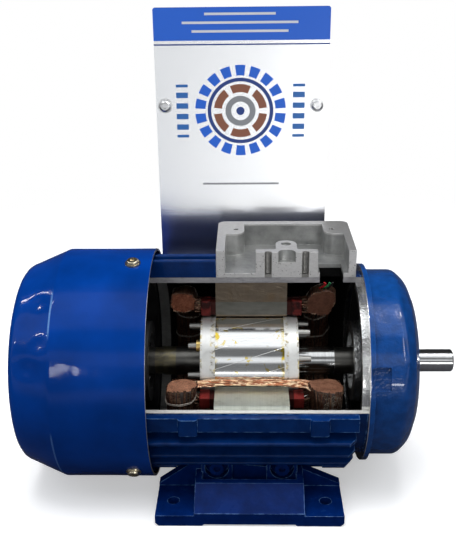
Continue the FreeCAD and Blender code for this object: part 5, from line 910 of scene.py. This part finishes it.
def cast_rings():
    """Cast and turned aluminium: whitish, with fine turning lines and ochre varnish near the laminations."""
    finish, tree, shader = new_finish("cage_aluminium", (0.86, 0.86, 0.84), 0.42, 1.0)
    place = use_effect(tree, axis_place)
    lines = speckle(tree, stretched(tree, place["Place"], 1.0, 0.03, 0.03), 0.0005, 2.0, 0.6)
    cloud = speckle(tree, place["Place"], 0.005, 4.0, 0.65, 0.5)
    tone = blend_colours(tree, cloud, (0.52, 0.52, 0.50), (0.80, 0.80, 0.78))
    # painted shade: the ring ends and the balance studs on them, facing the end shields, are darkened
    beyond = maths(tree, "GREATER_THAN",
                   maths(tree, "ABSOLUTE", maths(tree, "SUBTRACT", place["Along"], 0.25 * MM)), 29.5 * MM)
    tone = blend_colours(tree, maths(tree, "MULTIPLY", beyond, 0.6), tone, (0.14, 0.135, 0.12))
    near_core = maths(tree, "MAXIMUM", within(tree, place["Along"], -22.6 * MM, -20.2 * MM, 1.2 * MM),
                      within(tree, place["Along"], 21.1 * MM, 23.0 * MM, 1.2 * MM))
    rim = maths(tree, "MAXIMUM", within(tree, place["Along"], -29.2 * MM, -28.4 * MM, 0.5 * MM),
                within(tree, place["Along"], 28.8 * MM, 29.7 * MM, 0.5 * MM))
    spots = node(tree, "MapRange",
                 {0: speckle(tree, place["Place"], 0.0026, 4.0, 0.7), 1: 0.48, 2: 0.60}).outputs[0]
    stain = maths(tree, "MULTIPLY", spots, maths(tree, "MAXIMUM", near_core, rim))
    rust = blend_colours(tree, node(tree, "MapRange", {0: cloud, 1: 0.45, 2: 0.6}).outputs[0],
                         (0.10, 0.07, 0.03), (0.55, 0.42, 0.10))
    tone = blend_colours(tree, maths(tree, "MULTIPLY", stain, 0.8), tone, rust)
    dress(shader, tree, Base_Color=tone, Roughness=blend_values(tree, cloud, 0.34, 0.55),
          Normal=relief(tree, lines, 0.03 * MM))
    return finish


def turned_shaft():
    """Turned carbon steel: darker inside the motor with a painted highlight band from 30 to 52.4 mm along,
    and ground bright outside.
    """
    finish, tree, shader = new_finish("shaft_steel", (0.5, 0.5, 0.5), 0.25, 1.0)
    place = use_effect(tree, axis_place)
    lines = speckle(tree, stretched(tree, place["Place"], 1.0, 0.02, 0.02), 0.0007, 2.0, 0.6)
    cloud = speckle(tree, stretched(tree, place["Place"], 0.4, 1.0, 1.0), 0.006, 4.0, 0.6, 0.5)
    # painted highlight: a bright band from 30 to 52.4 mm along on the shaft inside the motor; past 80 mm the
    # steel outside the motor is bright
    highlight_band_and_outer_steel = maths(tree, "MAXIMUM", within(tree, place["Along"], 30.0 * MM, 52.4 * MM, 0.5 * MM),
                   maths(tree, "GREATER_THAN", place["Along"], 80 * MM))
    dark = blend_colours(tree, cloud, (0.06, 0.057, 0.052), (0.20, 0.195, 0.18))
    bright = blend_colours(tree, lines, (0.40, 0.40, 0.40), (0.66, 0.66, 0.65))
    tone = blend_colours(tree, highlight_band_and_outer_steel, dark, bright)
    gold = maths(tree, "MULTIPLY", within(tree, place["Along"], -58 * MM, -45.5 * MM, 0.5 * MM),
                 node(tree, "MapRange", {0: cloud, 1: 0.35, 2: 0.65}).outputs[0])
    tone = blend_colours(tree, maths(tree, "MULTIPLY", gold, 0.7), tone, (0.30, 0.25, 0.12))
    rough = blend_values(tree, highlight_band_and_outer_steel, blend_values(tree, cloud, 0.26, 0.42), 0.17)
    dress(shader, tree, Base_Color=tone, Roughness=rough, Normal=relief(tree, lines, 0.015 * MM))
    return finish


paint_node("rotor_core", ground_rotor())
paint_node("rotor_cage", cast_rings())
paint_node("rotor_shaft", turned_shaft())
paint_node("balance_washer", plain_finish("brass", (0.70, 0.50, 0.18), 0.3, 1.0))
paint_node("cooling_fan", plain_finish("fan_plastic", (0.02, 0.02, 0.022), 0.5))
steel = plain_finish("bearing_steel", (0.62, 0.62, 0.62), 0.18, 1.0)
for end in ("drive", "rear"):
    for piece in ("outer_ring", "inner_ring", "balls", "ball_cage"):
        paint_node(f"{end}_bearing_{piece}", steel)
for name in ("wave_washer", "fan_circlip"):
    paint_node(name, plain_finish("spring_steel_" + name, (0.30, 0.29, 0.28), 0.3, 1.0))
paint_node("shaft_seal", plain_finish("seal_rubber", (0.02, 0.02, 0.02), 0.6))

# ---------------------------------------------------------------- shields
# Die-cast end shields that centre the bearings in the frame. The drive-end one is sprayed
# blue outside and dull black inside, and keeps a machined spigot and flange face.
SHIELD_BLUE = (0.004, 0.050, 0.215)
# paler blue on the shield's rounded edges: a painted highlight
SHIELD_EDGE_HIGHLIGHT = (0.03, 0.13, 0.40)


def shield_bare_metal(tree, place):
    """The machined spigot and flange face, and the black inside."""
    behind = maths(tree, "LESS_THAN", place["Along"], 0.0672)
    inner = maths(tree, "LESS_THAN", place["Radius"], 0.0500)
    inside = maths(tree, "MULTIPLY", inner, maths(tree, "LESS_THAN", place["Along"], 0.0905))
    face = maths(tree, "MULTIPLY", within(tree, place["Along"], 0.0630, 0.0676, 0.0001),
                 maths(tree, "GREATER_THAN", place["Radius"], 0.0480))
    return (
        (inside, 0.0, (0.02, 0.02, 0.02), 0.5),
        (maths(tree, "MAXIMUM", behind, face), 1.0, (0.84, 0.84, 0.83), 0.26),
    )


# painted highlight: the shield's rounded edges in a paler blue
shield_casting = soften(
    "drive_end_shield", "drive_shield_casting",
    blue_enamel("shield_enamel", SHIELD_BLUE, 0.0065, 0.7, 0.60 * MM, 0.16, shield_bare_metal, 0.5, 0.5),
    0.8 * MM, 3, 35,
    blue_enamel("shield_edge_highlight", SHIELD_EDGE_HIGHLIGHT, 0.0065, 0.7, 0.60 * MM, 0.12, shield_bare_metal, 0.5, 0.9))
paint_node("rear_end_shield", plain_finish("rear_casting", (0.03, 0.03, 0.032), 0.5, 0.3))

# ---------------------------------------------------------------- fan cowl
# Deep-drawn sheet steel cover, sprayed glossy blue, with a soft crease where its side
# turns into a cone, a painted highlight along parts of that crease, and rings of slots in its end. Three
# screws hold its rim.
COWL_SHEET = 1.5 * MM
COWL_PROFILE = ((-57.0, 70.4), (-58.0, 70.4), (-66.0, 70.4), (-74.0, 70.4), (-82.0, 70.4), (-90.0, 70.4),
                (-97.0, 70.4), (-103.0, 70.4), (-109.3, 70.4), (-110.4, 70.33), (-111.4, 70.0), (-112.4,
                                                                                                 69.5),
                (-114.7, 68.53), (-117.0, 67.54), (-119.5, 66.46), (-122.0, 65.39), (-124.5,
                                                                                     64.31), (-127.0, 63.23),
                (-129.6, 62.1), (-132.2, 60.98), (-134.2, 59.7),
                (-135.6, 57.9), (-136.4, 55.6), (-136.6, 53.0))
GRILLE_RADII = (14.0, 25.0, 36.0, 47.0)
GRILLE_SLOT = 5.0
GRILLE_BRIDGE = 6.0


def cowl_bare_rim_and_crease_highlight(tree, place):
    rim = maths(tree, "GREATER_THAN", place["Along"], -57.12 * MM)
    high = maths(tree, "MULTIPLY", within(tree, place["Up"], 47.0 * MM, 57.0 * MM, 6.0 * MM), 0.65)
    low = maths(tree, "MULTIPLY", within(tree, place["Up"], -46.0 * MM, -14.0 * MM, 6.0 * MM), 0.3)
    # painted highlight: a paler blue line along the crease, strong above and faint below
    crease_highlight = maths(tree, "MULTIPLY", within(tree, place["Along"], -111.3 * MM, -110.7 * MM, 0.4 * MM),
                   maths(tree, "MAXIMUM", high, low))
    return ((crease_highlight, 0.0, (0.16, 0.34, 0.66), 0.2), (rim, 1.0, (0.70, 0.70, 0.70), 0.35))


def drawn_shell(name, profile, corners):
    """A round sheet drawn along the shaft axis, ring by ring: profile gives x and radius in millimetres."""
    bpy.ops.object.select_all(action="DESELECT")
    x, radius = profile[0]
    bpy.ops.mesh.primitive_circle_add(vertices=corners, radius=radius * MM,
                                      location=(x * MM, 0, SHAFT_HEIGHT),
                                      rotation=(0, math.pi / 2, 0))
    shell = bpy.context.object
    shell.name = name
    bpy.ops.object.transform_apply(location=True, rotation=True, scale=True)
    bpy.ops.object.mode_set(mode="EDIT")
    bpy.ops.mesh.select_all(action="SELECT")
    for next_x, next_radius in profile[1:]:
        bpy.ops.mesh.extrude_region_move(TRANSFORM_OT_translate={"value": ((next_x - x) * MM, 0, 0)})
        share = next_radius / radius
        bpy.ops.transform.resize(value=(1, share, share), center_override=(next_x * MM, 0, SHAFT_HEIGHT))
        x, radius = next_x, next_radius
    bpy.ops.object.mode_set(mode="OBJECT")
    return shell


grille = []
for ring_radius in reversed(GRILLE_RADII):
    grille += [(-136.6, ring_radius + GRILLE_SLOT / 2), (-136.6, ring_radius - GRILLE_SLOT / 2)]
grille.append((-136.6, GRILLE_SLOT))
cowl = drawn_shell("cowl_shell", COWL_PROFILE + tuple(grille), 180)
bpy.ops.object.mode_set(mode="EDIT")
bpy.ops.mesh.select_mode(type="FACE")
bpy.ops.mesh.select_all(action="DESELECT")
bpy.ops.object.mode_set(mode="OBJECT")
for face in cowl.data.polygons:
    middle = face.center
    up = middle.z - SHAFT_HEIGHT
    radius = math.hypot(middle.y, up) / MM
    quarter = math.degrees(math.atan2(-middle.y, up)) % 90
    clear = math.degrees(GRILLE_BRIDGE / 2 / radius)
    for ring_radius in GRILLE_RADII:
        if middle.x < -136.5 * MM and abs(radius - ring_radius) < 1 and clear < quarter < 90 - clear:
            face.select = True
bpy.ops.object.mode_set(mode="EDIT")
bpy.ops.mesh.delete(type="FACE")
bpy.ops.mesh.select_mode(type="VERT")
bpy.ops.object.mode_set(mode="OBJECT")
# place along the cowl in mm, angle round it, width in mm and depth of each knock
COWL_KNOCKS = ((-106, -1.20, 9.0, 1.3), (-96, -2.35, 14.0, 0.8), (-118.5, -0.58, 4.5, 2.0),
               (-125, -0.80, 5.5, 2.0), (-117, -0.95, 4.0, 1.6), (-123, -1.17, 5.0, 2.0))
for point in cowl.data.vertices:
    up = point.co.z - SHAFT_HEIGHT
    around = math.atan2(point.co.y, up)
    along = point.co.x / MM
    if -132 < along < -60:
        wave = (math.sin(2 * around + along * 0.05) + 0.6 * math.sin(5 * around + 0.11 * along)) * 0.5 - 0.8
        knock = 0.0
        for knock_x, knock_turn, knock_width, knock_depth in COWL_KNOCKS:
            away = ((along - knock_x) ** 2 + (70 * (around - knock_turn)) ** 2) / knock_width ** 2
            knock += knock_depth * math.exp(-away)
        dent = (0.12 * wave - 0.45 * knock) * MM * min(1, (-60 - along) / 20)
        point.co.y += math.sin(around) * dent
        point.co.z += math.cos(around) * dent
if cowl.data.polygons[0].normal.dot(cowl.data.polygons[0].center - Vector((cowl.data.polygons[0].center.x,
                                                                           0, SHAFT_HEIGHT))) < 0:
    cowl.data.flip_normals()
wall = cowl.modifiers.new("sheet", "SOLIDIFY")
wall.thickness = COWL_SHEET
wall.offset = -1
wall.use_even_offset = True
bpy.ops.object.modifier_apply(modifier="sheet")
bpy.ops.object.shade_smooth_by_angle(angle=math.radians(30))
cowl.data.materials.append(blue_enamel(
    "cowl_enamel", (0.0006, 0.033, 0.215), 0.030, 0.93, 0.6 * MM, 0.15, cowl_bare_rim_and_crease_highlight, 0.3, 0.12, 0.03))
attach(cowl, "motor")
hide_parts("fan_cowl")

for name in ("cowl_screws", "cowl_washers"):
    paint_node(name, plain_finish("zinc_yellow_" + name, (0.52, 0.46, 0.34), 0.3, 1.0, 0.0008, 0.05 * MM,
                                  0.4))

# ---------------------------------------------------------------- terminal box
# Unpainted die casting screwed on the frame and sawn through with it: grey skin, bright
# saw marks with pores, and tapped holes cut open along their length.


def box_metal():
    """Raw die casting: grey skin, brighter milled rim, sawn faces with pores, tapped holes with threads whose
    roots are painted dark as painted shade.
    """
    finish, tree, shader = new_finish("raw_casting", (0.4, 0.4, 0.4), 0.42, 0.85)
    place = use_effect(tree, axis_place)
    fine = speckle(tree, place["Place"], 0.0016, 4.0, 0.65)
    broad = speckle(tree, place["Place"], 0.012, 4.0, 0.6)
    skin = blend_colours(tree, node(tree, "MapRange", {0: broad, 1: 0.35, 2: 0.65}).outputs[0],
                         (0.28, 0.285, 0.28), (0.44, 0.44, 0.43))
    rim = maths(tree, "GREATER_THAN", place["Up"], 72.0 * MM)
    sawn = maths(tree, "LESS_THAN", place["Out"], 0.35 * MM)
    saw_lines = speckle(tree, stretched(tree, place["Place"], 0.5, 1.0, 1.0), 0.0013, 4.0, 0.7)
    cut = blend_colours(tree, saw_lines, (0.44, 0.43, 0.425), (0.70, 0.69, 0.68))
    tone = blend_colours(tree, maths(tree, "MAXIMUM", rim, sawn), skin, cut)
    pores = node(tree, "MapRange",
                 {0: speckle(tree, place["Place"], 0.0013, 2.0, 0.5), 1: 0.62, 2: 0.66}).outputs[0]
    patch = node(tree, "MapRange",
                 {0: speckle(tree, place["Place"], 0.011, 1.0), 1: 0.44, 2: 0.54}).outputs[0]
    pores = maths(tree, "MULTIPLY", pores, maths(tree, "MULTIPLY", patch, sawn))
    tone = blend_colours(tree, maths(tree, "MULTIPLY", pores, 0.85), tone, (0.03, 0.03, 0.03))
    bored = None
    for x, y in ((11.7, 0.0), (34.0, 0.0), (-8.1, 40.1), (52.8, 40.1)):
        across = maths(tree, "SUBTRACT", place["Along"], x * MM)
        away = maths(tree, "SUBTRACT", place["Out"], y * MM)
        reach = maths(tree, "SQRT", maths(tree, "ADD", maths(tree, "MULTIPLY", across, across),
                                          maths(tree, "MULTIPLY", away, away)))
        near = maths(tree, "LESS_THAN", reach, 2.15 * MM)
        bored = near if bored is None else maths(tree, "MAXIMUM", bored, near)
    in_bore = maths(tree, "MULTIPLY", bored, maths(tree, "LESS_THAN", place["Up"], 73.1 * MM))
    # painted shade: the thread roots in the tapped holes are dark, the crests light
    pitch = maths(tree, "FRACT", maths(tree, "MULTIPLY", place["Up"], 1 / (0.8 * MM)))
    crest = maths(tree, "ABSOLUTE", maths(tree, "SUBTRACT", pitch, 0.5))
    thread = blend_colours(tree, maths(tree, "MULTIPLY", crest, 2.0), (0.05, 0.05, 0.048), (0.42, 0.41, 0.39))
    tone = blend_colours(tree, in_bore, tone, thread)
    height = maths(tree, "SUBTRACT", blend_values(tree, sawn, fine, saw_lines), pores)
    height = blend_values(tree, in_bore, height, maths(tree, "MULTIPLY", crest, 4.0))
    dress(shader, tree, Base_Color=tone, Roughness=blend_values(tree, fine, 0.36, 0.56),
          Normal=relief(tree, height, 0.10 * MM))
    return finish


box_casting = soften("terminal_box_base", "terminal_box_casting", box_metal(), 0.4 * MM, 2)
for name in ("box_screws", "tie_bolts", "tie_bolt_nuts", "bracket_spacers", "bracket_screws"):
    paint_node(name, plain_finish("zinc_" + name, (0.60, 0.60, 0.60), 0.3, 1.0))

# ---------------------------------------------------------------- feet
# Two die-cast feet in dark blue enamel, each screwed under the frame by two cap screws
# whose heads and washers were painted over.
FOOT_BLUE = (0.001, 0.015, 0.105)
# paler blue on the feet's rounded edges: a painted highlight
FOOT_EDGE_HIGHLIGHT = (0.14, 0.28, 0.60)
# painted highlight: each foot's rounded edges in a paler blue
for name in ("front_foot", "rear_foot"):
    foot_casting = soften(
        name, name + "_casting", blue_enamel("enamel_" + name, FOOT_BLUE, 0.008, 0.8, 0.3 * MM, 0.24, None,
                                             0.8, 0.05, 0.03, FOOT_EDGE_HIGHLIGHT),
        0.8 * MM, 3, 35, blue_enamel("edge_highlight_" + name, FOOT_EDGE_HIGHLIGHT, 0.008, 0.8, 0.3 * MM, 0.14, None,
                                     0.3, 0.9))
for name in ("foot_screws", "foot_washers"):
    paint_node(name, blue_enamel("enamel_" + name, FOOT_BLUE, 0.008, 0.8, 0.1 * MM, 0.24))

# ---------------------------------------------------------------- display plate
# Stainless sheet printed with a blue header and an emblem, held upright behind the motor
# by a bracket, two button-head screws and their nuts.
PLATE_MIDDLE = (-5.0 * MM, 214 * MM)
PLATE_FRONT = 70.3 * MM                          # only what lies before this is printed
HEADER_FOOT = 258.0 * MM
HEADER_RULES = ((274.0, 22.0), (268.8, 36.0), (263.6, 30.0))    # height and half length of each rule, in mm
RULE_HALF_WIDTH = 0.7
PRINT_BLUE = (0.002, 0.14, 0.78)
DEEP_BLUE = (0.006, 0.045, 0.26)


def printed_plate():
    """Satin stainless sheet with a printed blue header and an emblem of rings, vanes and bars, and a painted
    reflection of the blue motor at its foot.
    """
    finish, tree, shader = new_finish("printed_stainless", (0.8, 0.8, 0.8), 0.2, 1.0)
    where = node(tree, "TexCoord").outputs["Object"]
    spot = node(tree, "SeparateXYZ", {0: where}).outputs
    brush = speckle(tree, stretched(tree, where, 0.03, 1.0, 1.0), 0.0008, 3.0, 0.6)
    cloud = speckle(tree, where, 0.05, 2.0, 0.5)
    tone = blend_colours(tree, brush, (0.86, 0.86, 0.87), (0.94, 0.94, 0.94))
    tone = blend_colours(tree, maths(tree, "MULTIPLY", cloud, 0.2), tone, (0.76, 0.76, 0.79))
    rough = blend_values(tree, brush, 0.262, 0.278)
    across = maths(tree, "SUBTRACT", spot[0], PLATE_MIDDLE[0])
    up = maths(tree, "SUBTRACT", spot[2], PLATE_MIDDLE[1])
    front = maths(tree, "LESS_THAN", spot[1], PLATE_FRONT)
    reach = maths(tree, "SQRT",
            maths(tree, "ADD", maths(tree, "MULTIPLY", across, across), maths(tree, "MULTIPLY", up, up)))
    turn = maths(tree, "ARCTAN2", up, across)
    vanes = within(tree, maths(tree, "FRACT", maths(tree, "MULTIPLY", turn, 9 / math.pi)), 0.18, 0.82, 0.01)
    petals = within(tree, maths(tree, "FRACT", maths(tree, "MULTIPLY", turn, 3 / math.pi)), 0.12, 0.88, 0.01)
    fine = 0.1 * MM
    header = maths(tree, "GREATER_THAN", spot[2], HEADER_FOOT)
    stripe = within(tree, spot[2], 255.2 * MM, 256.0 * MM, fine)
    outer = maths(tree, "MULTIPLY", within(tree, reach, 22.5 * MM, 29.0 * MM, fine), vanes)
    middle_ring = within(tree, reach, 18.8 * MM, 21.0 * MM, fine)
    coils = maths(tree, "MULTIPLY", within(tree, reach, 12.0 * MM, 17.0 * MM, fine), petals)
    centre = within(tree, reach, 6.0 * MM, 9.6 * MM, fine)
    dot = within(tree, reach, 0.0, 2.6 * MM, fine)
    beside = maths(tree, "ABSOLUTE", across)
    bars = maths(tree, "MULTIPLY", within(tree, beside, 33.5 * MM, 41.0 * MM, fine),
                 maths(tree, "MULTIPLY", within(tree, maths(tree, "ABSOLUTE", up), 0.0, 17.0 * MM, fine),
                       within(tree, maths(tree, "FRACT", maths(tree, "MULTIPLY", up, 1 / (6.8 * MM))), 0.25,
                              0.75, 0.02)))
    rule = maths(tree, "MULTIPLY", within(tree, spot[2], 165.2 * MM, 166.4 * MM, fine),
                 within(tree, beside, 0.0, 25.0 * MM, fine))
    rules = None
    for height, half_length in HEADER_RULES:
        line = maths(tree, "MULTIPLY", within(tree, spot[2], (height - RULE_HALF_WIDTH) * MM,
                                               (height + RULE_HALF_WIDTH) * MM, fine),
                     within(tree, beside, 0.0, half_length * MM, fine))
        rules = line if rules is None else maths(tree, "MAXIMUM", rules, line)
    ink = None
    for mask, colour in ((header, PRINT_BLUE), (stripe, DEEP_BLUE), (outer, PRINT_BLUE),
                         (middle_ring, DEEP_BLUE),
                         (coils, (0.30, 0.10, 0.05)), (centre, (0.30, 0.31, 0.33)), (dot, DEEP_BLUE),
                         (bars, (0.02, 0.16, 0.52)), (rule, (0.35, 0.35, 0.37)), (rules, (0.80, 0.82, 0.86))):
        mask = maths(tree, "MULTIPLY", mask, front)
        tone = blend_colours(tree, mask, tone, colour)
        ink = mask if ink is None else maths(tree, "MAXIMUM", ink, mask)
    # painted reflection: the plate's foot tinted dark blue where the motor below is mirrored in it
    foot = node(tree, "MapRange", {0: spot[2], 1: 134 * MM, 2: 152 * MM, 3: 0.85, 4: 0.0},
                interpolation_type="SMOOTHSTEP")
    tone = blend_colours(tree, foot.outputs[0], tone, (0.10, 0.14, 0.34))
    drop = maths(tree, "MAXIMUM", maths(tree, "SUBTRACT", HEADER_FOOT, spot[2]), 0.0)
    bow = maths(tree, "MULTIPLY", maths(tree, "MULTIPLY", drop, drop), 430.0)
    bowed = relief(tree, bow, MM)
    dress(shader, tree, Base_Color=tone, Roughness=blend_values(tree, ink, rough, 0.35),
          Metallic=maths(tree, "SUBTRACT", 1.0, ink), Normal=bowed)
    return finish


paint_node("display_plate", printed_plate())
paint_node("plate_bracket", plain_finish("bracket_steel", (0.60, 0.60, 0.61), 0.35, 1.0))
for name in ("plate_screws", "plate_nuts"):
    paint_node(name, plain_finish("stainless_" + name, (0.66, 0.66, 0.66), 0.25, 1.0))
